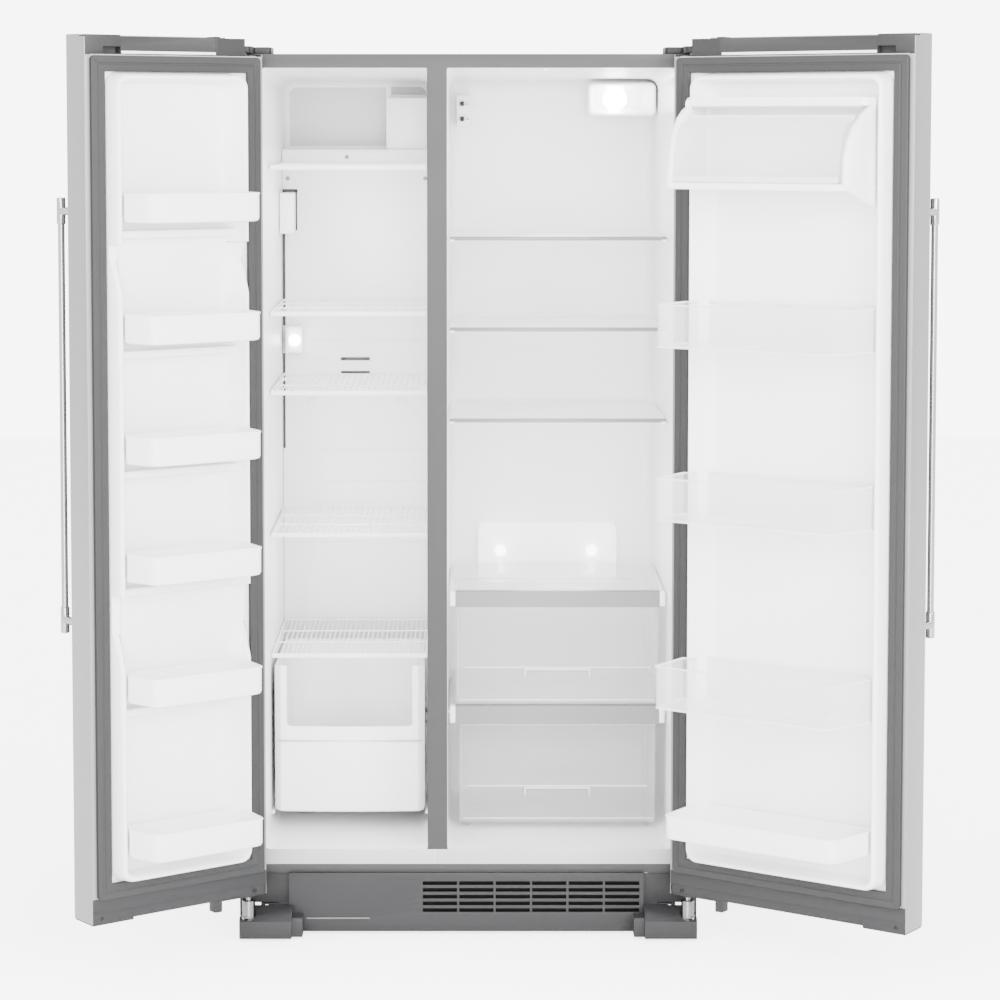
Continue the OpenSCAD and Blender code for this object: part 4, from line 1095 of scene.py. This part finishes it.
class Controls:
    """The control box, its two sliders, the lamps with their covers, and the light switch."""

    lamp_box = ((254.3, 399.7), (535.2, 644.6), (1623.3, 1694.7))
    small_boxes = (
        ((-400.8, -370.2), (495.3, 559.6), (1374.4, 1460.6), 3),
        ((-371.5, -370.0), (503, 552), (1382, 1453), 0.6),
        ((-393.8, -358.2), (594, 606.3), (1112.3, 1171.7), 2.4),
        ((-393.8, -386), (567.3, 600), (1112.3, 1171.7), 2.4),
    )
    marks = 7

    def build(self) -> None:
        """Build the controls and the lamps."""
        refined("control_housing", "control_box", LINER_WHITE, "cabinet", 1.4)
        refined("freezer_slider", "freezer_slider_knob", DARK, "freezer_slider", 0.6)
        refined("fridge_slider", "fridge_slider_knob", DARK, "fridge_slider", 0.6)
        self.lamp_boxes()
        refined("lamp_cover", "lamp_lens_moulding", LENS, "cabinet", 3.0)
        refined("lamp_bulbs", "lamp_bulb_glass", BULB, "cabinet", 0.2)
        refined("light_switch", "light_switch_plunger", LINER_WHITE, "light_switch", 0.8)
        x, y, z = span("control_housing")
        marks = Solid(in_cabinet)
        for row in (16, z[1] - z[0] - 18):
            for i in range(self.marks):
                at = x[0] + 7 + i * (x[1] - x[0] - 14) / (self.marks - 1)
                marks.block((at - 0.3, at + 0.3), (y[0] - 0.25, y[0] + 0.1),
                            (z[0] + row + 4, z[0] + row + 7), 0.1)
        marks.piece("control_scale_marks", DARK, "cabinet")

    def lamp_boxes(self) -> None:
        """Build the upper lamp's open housing and the two small boxes on the freezer's wall."""
        s = Solid(in_cabinet)
        x, y, z = self.lamp_box
        levels = [(10, y[1], 8), (3, y[1] - 2, 11), (0, y[1] - 8, 12), (0, y[0] + 3, 12), (0.6, y[0] + 0.6, 12),
                  (2.2, y[0], 11), (4.2, y[0] + 1.4, 10), (5.5, y[0] + 8, 10), (16, y[1] - 24, 10),
                  (24, y[1] - 9, 8)]
        s.loft([[Vector((px, h, pz)) for px, pz in round_ring((x[0] + g, x[1] - g), (z[0] + g, z[1] - g), r, 6)]
                for g, h, r in levels])
        s.blocks(*self.small_boxes)
        s.piece("lamp_housing_mouldings", LINER_WHITE, "cabinet", "lamp_housings")


@dataclass(frozen=True)
class FreezerBin:
    """The deep white bin at the bottom of the freezer, cut away at the front."""

    wall: float = 3.0
    corner: float = 16.0
    cut_in: float = 28.0
    cut_z: float = 386.0

    def build(self) -> None:
        """Build the bin and its handle lip, and a grey band that paints the shadow under its ledge."""
        x, y, z = span("freezer_bin")
        belly = 7.0
        near = [0, 0.01, 0.6, 2, 4.5, 8]
        half = (x[1] - x[0]) / 2
        steps = [self.corner, self.cut_in - 3] + [self.cut_in + d for d in near] + \
                [self.cut_in + 8 + (half - self.cut_in - 8) * t / 6 for t in range(1, 6)]
        across = [x[0] + d for d in steps] + [x[0] + half] + [x[1] - d for d in reversed(steps)]

        def outline(g: float) -> list[Point]:
            """The bin's outline for an inset, with a gently bowed front and room for the cut-away."""
            front = [(px, y[0] + 1.4 + g + belly * ((px - x[0]) / half - 1) ** 2) for px in across]
            side = self.corner
            right = [(x[1] - 3 - g, y[0] + belly + side), (x[1] - 6 - g, y[1] - 14), (x[1] - 20, y[1] - g)]
            left = [(x[0] + 20, y[1] - g), (x[0] + 6 + g, y[1] - 14), (x[0] + 3 + g, y[0] + belly + side)]
            return front + right + left

        def drop(p: Point) -> float:
            """How far the rim is cut down at a point."""
            deep = min(p[0] - x[0], x[1] - p[0]) - self.cut_in
            if deep < 0.005 or p[1] > y[0] + 30:
                return 0.0
            return z[1] - self.cut_z - 8 + math.sqrt(max(0.0, 64 - max(0.0, 8 - deep) ** 2))

        s = Solid(in_cabinet)
        foot = 9.0
        w = self.wall
        levels = [(foot, 0, 0), (foot * 0.3, foot * 0.3, 0), (0, foot, 0), (0.0, z[1] - z[0] - 4, 1),
                  (0.2 * w, z[1] - z[0] - 1, 1), (0.5 * w, z[1] - z[0] - 0.2, 1), (0.8 * w, z[1] - z[0] - 1, 1),
                  (w, z[1] - z[0] - 4, 1), (w, w + foot, 0), (w + foot * 0.3, w + foot * 0.3, 0), (w + foot, w, 0)]
        s.loft([[Vector((px, py, z[0] + h - k * drop((px, py)))) for px, py in outline(g)]
                for g, h, k in levels])
        s.piece("freezer_bin_moulding", LINER_WHITE, "freezer_bin", "freezer_bin")
        # A grey band under the ledge: painted shadow.
        Solid(in_cabinet).blocks(((x[0] + 8, x[1] - 8), (y[0] + 1.2, y[0] + 8), (354.5, 357), 1.0)).piece(
            "freezer_bin_seam", SHADOW_LINE_GREY, "freezer_bin")


@dataclass(frozen=True)
class GlassShelf:
    """A glass shelf held in moulded front and back trims."""

    node: str

    def build(self) -> None:
        """Build the pane, its ground edges and its trims."""
        x, y, z = span(self.node)
        top = z[1] - 3
        pane = ((x[0] + 0.3, x[1] - 0.3), (y[0] + 8, y[1] - 8), (top - 4, top), 0.8)
        Solid(in_cabinet).blocks(pane).piece(self.node + "_pane", SHELF_GLASS, self.node, self.node)
        edge = ((x[0] + 1, x[1] - 1), (y[0] + 0.3, y[0] + 9), (top - 6.5, top + 1.4), 2.6)
        Solid(in_cabinet).blocks(edge).piece(self.node + "_front_trim", GLASS_EDGE, self.node)
        back = Solid(in_cabinet)
        back.block((x[0] + 13, x[1] - 13), (y[1] - 13, y[1] - 0.4), (top - 6, top + 2.8), 2.4)
        for h in ((x[0] + 0.6, x[0] + 11), (x[1] - 11, x[1] - 0.6)):
            back.block(h, (y[0] + 0.2, y[0] + 13), (top - 9.7, top - 4.2), 1.6)
        back.piece(self.node + "_back_trim", LINER_WHITE, self.node)


@dataclass(frozen=True)
class Crisper:
    """A clear drawer under a glass cover with a silver rail."""

    cover: str
    drawer: str
    rail: float
    front: float = 162.2
    pane_front: float = 184.0

    def build(self) -> None:
        """Build the cover and the drawer."""
        x, y, z = span(self.cover)
        rail = Solid(in_cabinet)
        low = z[1] - self.rail
        f, back = self.front, self.pane_front
        profile = [(f, low + 1.2), (f + 0.7, low + 0.3), (f + 2.8, low + 0.2), (f + 2.8, z[1] - 12),
                   (back, z[1] - 12), (back, z[1] - 1.4), (back - 2, z[1] - 0.2), (f + 3.3, z[1] - 0.2),
                   (f + 1, z[1] - 1.6)]
        rail.loft([[Vector((h, py, pz)) for py, pz in profile]
                   for h in (x[0] + 14, x[0] + 16, x[1] - 16, x[1] - 14)])
        rail.piece(self.cover + "_rail", RAIL_SILVER, "cabinet", self.cover)
        ends = Solid(in_cabinet)
        for h in ((x[0] + 1.6, x[0] + 14), (x[1] - 14, x[1] - 1.6)):
            ends.block(h, (f + 0.1, back), (low + 1.5, z[1] - 1), 3.4)
        for h in ((x[0] + 1.4, x[0] + 9), (x[1] - 9, x[1] - 1.4)):
            ends.block(h, (back, y[1] - 1), (z[1] - 11.8, z[1] - 8.2), 1.2)
        ends.piece(self.cover + "_end_caps", LINER_WHITE, "cabinet")
        pins = Solid(in_cabinet)
        for h in (x[0] + 7.5, x[1] - 7.5):
            pins.lathe([(2.6, 0), (2.6, -0.5), (1.8, -0.9), (0, -1.0)], Vector((h, f + 1.1, z[1] - 9)), "Y", 16)
        pins.piece(self.cover + "_end_pins", DARK, "cabinet")
        pane = ((x[0] + 3, x[1] - 3), (back, y[1] - 0.5), (z[1] - 7.8, z[1] - 3.2), 0.8)
        Solid(in_cabinet).blocks(pane).piece(self.cover + "_pane", SHELF_GLASS, "cabinet")
        self.tray()

    def tray(self) -> None:
        """Build the clear drawer with its rim, its runners and its finger ledge."""
        x, y, z = span(self.drawer)
        box = (x[0] + 4.5, x[1] - 4.5)
        front = y[0] + 9
        low = z[0] if self.rail < 35 else z[0] + 12
        s = Solid(in_cabinet)

        def outline(g: float) -> list[Point]:
            """The drawer's outline for an inset."""
            return round_ring((box[0] + g, box[1] - g), (front + g, y[1] - g), max(12 - g, 2), 5)

        s.tray(outline, (low + 0.4, z[1] - 0.3), 2.4, 0.0)
        for h in ((x[0] + 0.3, box[0] + 1), (box[1] - 1, x[1] - 0.3)):
            s.block(h, (front + 26, y[1] - 18), (z[1] - 3, z[1] - 0.4), 1.0)
        if low > z[0]:
            for h in (box[0] + 12, box[1] - 20):
                s.block((h, h + 8), (front + 24, y[1] - 24), (z[0] + 0.2, low + 1), 1.0)
        s.piece(self.drawer + "_tray", CLEAR_PLASTIC, self.drawer, self.drawer)
        mid = (box[0] + box[1]) / 2
        ledge = Solid(in_cabinet)
        ledge.block((box[0] + 16, box[1] - 16), (front - 1.6, front + 0.6), (low + 76, low + 79), 0.9)
        ledge.block((mid - 67, mid + 67), (front - 8.6, front + 0.4), (low + 73, low + 76), 1.2)
        for h in ((mid - 67, mid - 64), (mid + 64, mid + 67)):
            ledge.block(h, (front - 8, front + 0.4), (low + 58.5, low + 75), 1.0)
        ledge.block((box[0] + 8, box[1] - 8), (front - 1.2, front + 0.6), (low + 9, low + 11.5), 0.9)
        ledge.piece(self.drawer + "_finger_ledge", CLEAR_EDGE, self.drawer)
        rim = Solid(in_cabinet)
        g, h = 0.1, z[1] - 0.1
        path = [(g, h - 2.6), (g - 0.05, h), (g + 2.3, h), (g + 2.3, h - 2.6)]
        rim.loft([[Vector((px, py, pz)) for px, py in outline(i)] for i, pz in path], loop=True)
        rim.piece(self.drawer + "_rim", CLEAR_EDGE, self.drawer)


# ---- doors ----------------------------------------------------------------------------------


@dataclass(frozen=True)
class Door:
    """What both doors have: a steel skin, end caps, a moulded liner, a gasket and a handle."""

    place: DoorPlace
    prefix: str
    inset: Point = (56.0, 41.0)
    low: float = 118.0
    high: float = 1736.0
    ring_z: Point = (175.0, 1702.0)
    raised: float = 45.0
    border: float = 9.0
    gasket_w: float = 30.0
    steps: tuple[tuple[float, float], ...] = ()

    @property
    def body(self) -> str:
        """The CAD body of this door."""
        return self.place.body

    def build(self) -> None:
        """Build the parts that both doors have."""
        refined(self.prefix + "_panel", self.prefix + "_steel_skin", DOOR_STEEL, self.body, 0.5)
        refined(self.prefix + "_caps", self.prefix + "_end_caps", CAP_GREY, self.body, 1.4)
        self.flange()
        self.liner()
        self.gasket()
        self.handle()
        self.cap_screws()

    def flange(self) -> None:
        """Lay the painted lip that shows between the steel edge and the gasket."""
        w = self.place.width
        s = self.place.solid()
        s.frame_ring((0.9, w - 0.9), (self.low + 0.4, self.high - 0.4), 3,
                     [(0, 0.02), (0.4, 0.3), (self.border + 0.4, 0.3), (self.border + 0.8, 0.02)], 3)
        s.piece(self.prefix + "_flange", FLANGE_GREY, self.body)
        border = ((1.0, w - 1.0), (-0.02, 0.6), (self.low - 0.4, self.ring_z[0] - self.gasket_w), 0.2)
        self.place.solid().blocks(border).piece(self.prefix + "_lower_border", CAP_GREY, self.body)

    def height(self, p: float, z: float, side: bool) -> float:
        """Lower the raised ring where it is cut away.

        Args:
            p: the full height at this point.
            z: the height above the floor.
            side: whether the point is on an upright of the ring.

        Returns:
            The height after the cut.
        """
        if not side:
            return p
        for low, high in self.steps:
            if low < z < high:
                return min(p, max(12.0, self.raised - (z - low) * 33 / 70))
        return p

    def liner(self) -> None:
        """Build the formed inner face in one closed skin."""
        w = self.place.width
        a0, a1 = self.inset[0], w - self.inset[1]
        z0, z1 = self.ring_z
        stations = sorted(z for low, high in self.steps
                          for z in (low - 4, low + 2, low + 35, low + 70, high - 3, high + 0.5, high + 4))
        steps = [((self.border, w - self.border), (self.low, self.high), 5, -2.4),
                 ((self.border, w - self.border), (self.low, self.high), 5, -0.6),
                 ((self.border + 0.6, w - self.border - 0.6), (self.low + 0.6, self.high - 0.6), 5, -0.05)]
        for g, p in ((-7, 0), (-2, 1.2), (-0.2, 5), (0.4, 12), (3.0, 37), (4.4, 42), (7.0, 44.9), (9.5, 44.9),
                     (12.6, 42), (14.0, 37), (17.5, 14), (20.0, 9.5), (26.0, 8.0)):
            lean = 0.0 if p > 37 or g < 10 else (37 - p) * 0.9
            steps.append(((a0 + g + lean, a1 - g), (z0 + g, z1 - g), max(26 - g * 0.6, 8) if g > -7 else 32, p))
        s = self.place.solid()
        rings = []
        for x, z, r, p in steps:
            ring = tall_ring(x, z, r, stations, 7)
            rings.append([Vector((px, self.height(p, pz, abs(px - x[0]) < 0.1 or abs(px - x[1]) < 0.1), pz))
                          for px, pz in ring])
        s.loft(rings)
        s.piece(self.prefix + "_moulded_liner", LINER_WHITE, self.body, self.prefix + "_liner")

    def gasket(self) -> None:
        """Build the bellows gasket with its magnet strip."""
        w = self.place.width
        z0, z1 = self.ring_z[0] - self.gasket_w - 2, self.ring_z[1] + self.gasket_w + 2
        top = span_height(self.place, self.prefix + "_gasket")
        g = self.gasket_w
        profile = [(1, 0.3), (0.2, 1.6), (0.4, 3.0), (3.2, 3.8), (5, 5.0), (3.2, 6.6), (0.4, 7.4), (0.2, top - 1.6),
                   (1.6, top - 0.3), (g * 0.42, top - 0.1), (g * 0.46, top - 1.3), (g * 0.54, top - 1.3),
                   (g * 0.58, top - 0.1), (g - 2, top - 0.6), (g - 0.2, top - 2.4), (g - 3, 5.4), (g - 0.4, 3.4),
                   (g - 1, 0.3)]
        s = self.place.solid()
        s.frame_ring((self.border, w - self.border), (z0, z1), 8, profile, 5)
        s.piece(self.prefix + "_bellows", GASKET, self.body, self.prefix + "_gasket")

    def handle(self) -> None:
        """Build the bar, its ferrules and its feet."""
        w = self.place.width
        axis = Vector((w - 22, -133, 635))
        s = self.place.solid()
        length, r, big, foot = 833, 6.5, 8.45, 51
        s.lathe([(0, 0.1), (big - 1.4, 0.1), (big - 0.3, 0.8), (big, 2), (big, foot - 3), (big - 0.5, foot - 1.2),
                 (r + 0.1, foot), (r, foot + 1), (r, length / 2), (r, length - foot - 1), (r + 0.1, length - foot),
                 (big - 0.5, length - foot + 1.2), (big, length - foot + 3), (big, length - 2),
                 (big - 0.3, length - 0.8), (big - 1.4, length - 0.1), (0, length - 0.1)], axis, "Z", 32)
        for z in (foot / 2, length - foot / 2):
            s.lathe([(8.9, 60), (8.9, 57), (8.0, 55.5), (7.6, 50), (7.6, 6), (7.0, 2)],
                    axis + Vector((0, 0, z)), "Y", 28)
        s.piece(self.prefix + "_bar", HANDLE_STEEL, self.body, self.prefix + "_handle")

    def cap_screws(self) -> None:
        """Add the screws of the lower end cap and the pale strip under the upper one."""
        w = self.place.width
        turn = math.atan2(*(self.place.at(Vector((0, 1, 0))) - self.place.at(Vector((0, 0, 0)))).xy)
        spots = [self.place.at(Vector((h, -0.6, 106))) for h in (26, w - 20)]
        strip = ((105, w - 79), (-1.3, -0.1), (self.high + 2, self.high + 7), 0.4)
        self.place.solid().blocks(strip).piece(self.prefix + "_cap_strip", LINER_WHITE, self.body)
        made = screws(self.prefix + "_cap_screws", DARK, spots, 3.6, Vector((-math.pi / 2, 0, -turn)))
        settle(made, DARK, self.body)


def span_height(place: DoorPlace, node: str) -> float:
    """How far a door node stands out from the door's inner face.

    Args:
        place: the door.
        node: the CAD node.

    Returns:
        The greatest local Y of the node, in millimetres.
    """
    foot = place.at(Vector((0, 0, 0)))
    out = (place.at(Vector((0, 1, 0))) - foot).normalized()
    return max((v.co - foot).dot(out) for v in frame["nodes"][node].data.vertices) / MM


def tray_outline(x: Point, p: float, back: float, g: float, over: Point, taper: Point) -> list[Point]:
    """The outline of a door tray, which reaches over the raised ring and narrows towards its front.

    Args:
        x: its extent along the door, between the uprights of the ring.
        p: how far its front stands from the door.
        back: where its back edge is.
        g: an inset.
        over: how far it reaches over the ring, at the hinge side and the free side.
        taper: how far it narrows from there to its front.

    Returns:
        The outline, anticlockwise.
    """
    bend = 48.5
    left, right = x[0] - over[0] + g, x[1] + over[1] - g
    sharp = [(x[0] + g, back + g), (x[1] - g, back + g), (x[1] - g, bend - 1 + g), (right, bend + g),
             (right - taper[1], p - g), (left + taper[0], p - g), (left, bend + g), (x[0] + g, bend - 1 + g)]
    return round_outline(sharp, [2, 2, 0, 3, 16, 16, 3, 0], 6)


@dataclass(frozen=True)
class DoorTray:
    """A tray that stands out from a door's inner face."""

    place: DoorPlace
    name: str
    body: str
    finish: Finish
    z: Point
    p: float
    wall: float = 2.6
    lip: float = 0.0
    over: Point = (0.0, 0.0)
    taper: Point = (0.0, 0.0)
    inset: Point = TRAY_INSET
    back: float = 16.0

    def build(self, *nodes: str) -> None:
        """Build the tray.

        Args:
            nodes: the CAD nodes that it stands for.
        """
        x = (self.inset[0] + self.lip, self.place.width - self.inset[1] - self.lip)
        s = self.place.solid()
        s.tray(lambda g: tray_outline(x, self.p - self.lip - 0.2, self.back, g, self.over, self.taper), self.z,
               self.wall, self.lip)
        s.piece(self.name, self.finish, self.body, *nodes)


class FreezerDoor:
    """The left door with its six white shelves."""

    tops = (1479.0, 1254.0, 1028.0, 806.0, 577.0, 283.0)
    depth = 125.0
    front = 55.0

    def build(self) -> None:
        """Build the door and its shelves."""
        place = DoorPlace(Side.LEFT, "freezer_door", 391.0)
        cuts = ((self.tops[0] - 196, self.tops[0] - 96), (self.tops[3] - 228, self.tops[3] - 83))
        Door(place, "freezer_door", steps=cuts).build()
        for i, top in enumerate(self.tops):
            nodes = ("freezer_door_shelves",) if i == 0 else ()
            DoorTray(place, f"freezer_door_shelf_{i + 1}", "freezer_door", LINER_WHITE,
                     (top - self.front, top - 0.3), self.depth, 3.0, 1.0, (0, 6), (10, 17)).build(*nodes)
            if top != self.tops[-1]:
                z = top - self.front - 15
                x = (TRAY_INSET[0] - 1, place.width - TRAY_INSET[1] + 1)
                place.solid().blocks((x, (4, 30), (z - 16, z), 6)).piece(
                    f"freezer_door_ledge_{i + 1}", LINER_WHITE, "freezer_door")


class FridgeDoor:
    """The right door with the dairy compartment and its bins."""

    bins = (1269.1, 940.0, 580.0)
    bin_p = 160.0
    bin_over = (18.5, 5.0)
    bin_taper = (0.0, 31.0)

    def build(self) -> None:
        """Build the door and what it carries."""
        place = DoorPlace(Side.RIGHT, "fridge_door", 513.0)
        Door(place, "fridge_door").build()
        for i, top in enumerate(self.bins):
            name = f"door_bin_{i + 1}"
            DoorTray(place, name + "_tray", name, CLEAR_PLASTIC, (top - 83.8, top - 0.2), self.bin_p, 2.4, 1.6,
                     self.bin_over, self.bin_taper).build(name)
            self.bin_rim(place, name, top)
        DoorTray(place, "door_bin_bottom_tray", "fridge_door", LINER_WHITE, (245.2, 292.8), 150, 3.0, 1.2,
                 (0, 2), (0, 20)).build("door_bin_bottom")
        Dairy(place).build()

    def bin_rim(self, place: DoorPlace, name: str, top: float) -> None:
        """Lay the bright rolled edge on top of a clear bin.

        Args:
            place: the door.
            name: the bin's body.
            top: the height of its rim.
        """
        x = (TRAY_INSET[0] + 1.6, place.width - TRAY_INSET[1] - 1.6)
        s = place.solid()
        path = [(-1.3, top - 3.4), (-1.4, top - 0.6), (-0.4, top - 0.05), (2.2, top - 0.05), (3.0, top - 0.8),
                (2.7, top - 3.4)]
        low = [(0.6, top - 83.2), (-0.6, top - 82), (-0.6, top - 80), (0.4, top - 79), (1.6, top - 80),
               (1.6, top - 82)]
        for section in (path, low):
            s.loft([[Vector((px, py, z)) for px, py in
                     tray_outline(x, self.bin_p - 1.8, 16, g, self.bin_over, self.bin_taper)]
                    for g, z in section], loop=True)
        s.piece(name + "_rim", CLEAR_EDGE, name)


@dataclass(frozen=True)
class Dairy:
    """The dairy compartment: a moulded housing with a curved wing and a clear curved flap."""

    place: DoorPlace
    z: Point = (1485.0, 1657.0)
    p: float = 150.0
    inset: Point = TRAY_INSET
    flap_x: Point = (87.0, 435.0)

    def build(self) -> None:
        """Build the housing and the flap."""
        x = (self.inset[0], self.place.width - self.inset[1])
        s = self.place.solid()
        s.prism_z(tray_outline(x, 78, 10, 0.4, (0, 0), (0, 0)), (self.z[1] - 17, self.z[1] - 0.3), 4)
        s.prism_z(tray_outline(x, self.p - 2, 10, 0.4, (0, 1.5), (0, 8)), (self.z[0] + 0.3, self.z[0] + 13), 4)
        s.block((x[0] + 4, x[1] - 4), (9.5, 16), (self.z[0] + 8, self.z[1] - 8), 2)
        hinge = [(10, 1485.4), (146, 1485.4), (149, 1489), (148, 1505), (145, 1530), (140, 1560), (131, 1592),
                 (115, 1618), (95, 1634), (78, 1641), (78, 1652), (74, 1656.6), (10, 1656.6)]
        wing = [(6, 1455), (36, 1455.5), (66, 1462), (92, 1471), (118, 1479), (134, 1484.5), (144, 1490),
                (148.5, 1500), (149, 1522), (147, 1545), (136, 1574), (116, 1600), (84, 1624), (56, 1639),
                (45, 1648), (38, 1656.6), (6, 1656.6)]
        self.cheek(s, hinge, (x[0] + 0.4, x[0] + 13), 4)
        self.cheek(s, wing, (x[1] - 14, x[1] - 1.5), 5)
        s.piece("dairy_housing", LINER_WHITE, "fridge_door", "dairy_compartment")
        # A grey strip under the top shelf's front: painted shade in the slot.
        slot = ((self.flap_x[0], self.flap_x[1] + 8), (74, 77), (self.z[1] - 21, self.z[1] - 16), 1)
        self.place.solid().blocks(slot).piece("dairy_slot", SHADOW_LINE_GREY, "fridge_door")
        self.flap()

    def cheek(self, s: Solid, outline: Sequence[Point], x: Point, soft: float) -> None:
        """Build one end wall with rounded edges.

        Args:
            s: the mesh.
            outline: its outline in local Y and Z.
            x: its extent along the door.
            soft: the width of its rounded edges.
        """
        mid = Vector((sum(o[0] for o in outline) / len(outline), sum(o[1] for o in outline) / len(outline)))
        rings = []
        for g, h in soft_levels(x, soft):
            points = [mid + (Vector(o) - mid) * (1 - g / (Vector(o) - mid).length) for o in outline]
            rings.append([Vector((h, q.x, q.y)) for q in points])
        s.loft(rings)

    def flap(self) -> None:
        """Build the clear flap as a curved sheet with a bar along each edge."""
        arc = [(90, 1618), (104, 1614), (118, 1606), (130, 1594), (138, 1578), (142.5, 1558), (145, 1535),
               (146.5, 1515), (147, 1503)]
        sheet = self.place.solid()
        face = [Vector((0, p, z)) for p, z in arc] + [Vector((0, p - 2.4, z - 0.8)) for p, z in reversed(arc)]
        sheet.loft([[v + Vector((a, 0, 0)) for v in face] for a in self.flap_x])
        sheet.piece("dairy_flap_sheet", CLEAR_PLASTIC, "dairy_flap", "dairy_flap")
        self.place.solid().blocks((self.flap_x, (self.p - 6.5, self.p + 3.8), (1499.5, 1511), 3.4),
                                  (self.flap_x, (82, 92), (1612, 1624), 3)).piece(
            "dairy_flap_bars", CLEAR_EDGE, "dairy_flap")


# ---- studio ---------------------------------------------------------------------------------


@dataclass(frozen=True)
class Studio:
    """The pale floor, the soft lights and the camera."""

    eye: tuple[float, float, float] = (0.003, -6.1525, 1.606)
    lens: float = 106.49
    pitch: float = 4.206
    shift: Point = (0.0303, -0.158)
    sky: float = 3.2
    backdrop: float = 7.5
    floor_glow: Point = (0.3, 3.6)
    lamp_size: float = 2.2
    lamps: tuple[tuple, ...] = (
        ("key", (-2.6, -4.6, 3.4), (0, 0, 1.0), 220),
        ("fill", (2.8, -4.8, 2.6), (0, 0, 0.9), 400),
        ("front", (0.0, -6.0, 1.4), (0, 0, 0.9), 240),
    )
    glow_power: float = 2.5
    glows: tuple[tuple[str, float], ...] = (("freezer_glow", -0.24), ("fridge_glow", 0.18))
    glow_levels: Point = (0.75, 1.45)

    def build(self) -> None:
        """Set the stage."""
        scene = bpy.context.scene
        world = bpy.data.worlds.new("studio")
        scene.world = world
        world.use_nodes = True
        sky = world.node_tree.nodes["Background"]
        sky.inputs["Color"].default_value = (1.0, 1.0, 1.0, 1.0)
        self.seen_only(world.node_tree, sky.inputs["Strength"], self.sky, self.backdrop)
        floor_mesh = bpy.data.meshes.new("studio_floor")
        floor_mesh.from_pydata([(-9, -9, 0), (9, -9, 0), (9, 9, 0), (-9, 9, 0)], [], [(0, 1, 2, 3)])
        floor = bpy.data.objects.new("studio_floor", floor_mesh)
        scene.collection.objects.link(floor)
        paint = bpy.data.materials.new("studio_floor_paint")
        paint.use_nodes = True
        shader = paint.node_tree.nodes["Principled BSDF"].inputs
        shader["Base Color"].default_value = (0.96, 0.96, 0.96, 1.0)
        shader["Roughness"].default_value = 0.6
        shader["Emission Color"].default_value = (1.0, 1.0, 1.0, 1.0)
        self.seen_only(paint.node_tree, shader["Emission Strength"], *self.floor_glow)
        floor_mesh.materials.append(paint)
        for name, where, aim, power in self.lamps:
            light = bpy.data.lights.new(name, "AREA")
            light.energy = power
            light.size = self.lamp_size
            panel = self.hang(name, light, where)
            panel.rotation_euler = (Vector(aim) - Vector(where)).to_track_quat("-Z", "Y").to_euler()
        for name, x in self.glows:
            for level in self.glow_levels:
                light = bpy.data.lights.new(f"{name}_{level:.2f}", "POINT")
                light.energy = self.glow_power
                light.shadow_soft_size = 0.12
                self.hang(light.name, light, (x, -0.08, level))
        camera = bpy.data.cameras.new("camera")
        camera.lens = self.lens
        camera.sensor_width = 36.0
        camera.shift_x, camera.shift_y = self.shift
        scene.camera = self.hang("camera", camera, self.eye)
        scene.camera.rotation_euler = (math.radians(90 - self.pitch), 0, 0)

    def seen_only(self, tree: bpy.types.NodeTree, socket: bpy.types.NodeSocket, lit: float,
                  seen: float) -> None:
        """Give a strength one value where it lights the object and another where it is seen.

        Args:
            tree: the node tree.
            socket: the strength.
            lit: its value as a light.
            seen: its value as a backdrop.
        """
        rays = add(tree, "ShaderNodeLightPath", {})
        level = add(tree, "ShaderNodeMapRange", {"To Min": lit, "To Max": seen,
                                                 "Value": rays.outputs["Is Camera Ray"]})
        tree.links.new(level.outputs["Result"], socket)

    def hang(self, name: str, data: bpy.types.ID, where: tuple[float, float, float]) -> bpy.types.Object:
        """Put a light or a camera in the scene.

        Args:
            name: its name.
            data: the light or the camera.
            where: its place.

        Returns:
            The new object.
        """
        held = bpy.data.objects.new(name, data)
        held.location = where
        bpy.context.scene.collection.objects.link(held)
        return held


class Refrigerator:
    """The whole appliance."""

    def build(self) -> None:
        """Build every sub-assembly."""
        Cabinet().build()
        Cooling().build()
        Controls().build()
        for i in range(1, 5):
            WireShelf(f"freezer_shelf_{i}").build()
        WireShelf("freezer_rack", 31).build()
        FreezerBin().build()
        for i in range(1, 4):
            GlassShelf(f"fridge_shelf_{i}").build()
        Crisper("crisper_cover_upper", "crisper_drawer_upper", 33).build()
        Crisper("crisper_cover_lower", "crisper_drawer_lower", 38).build()
        FreezerDoor().build()
        FridgeDoor().build()


def main() -> None:
    """Build the refrigerator and the studio."""
    Refrigerator().build()
    Studio().build()


if __name__ == "__main__":
    main()
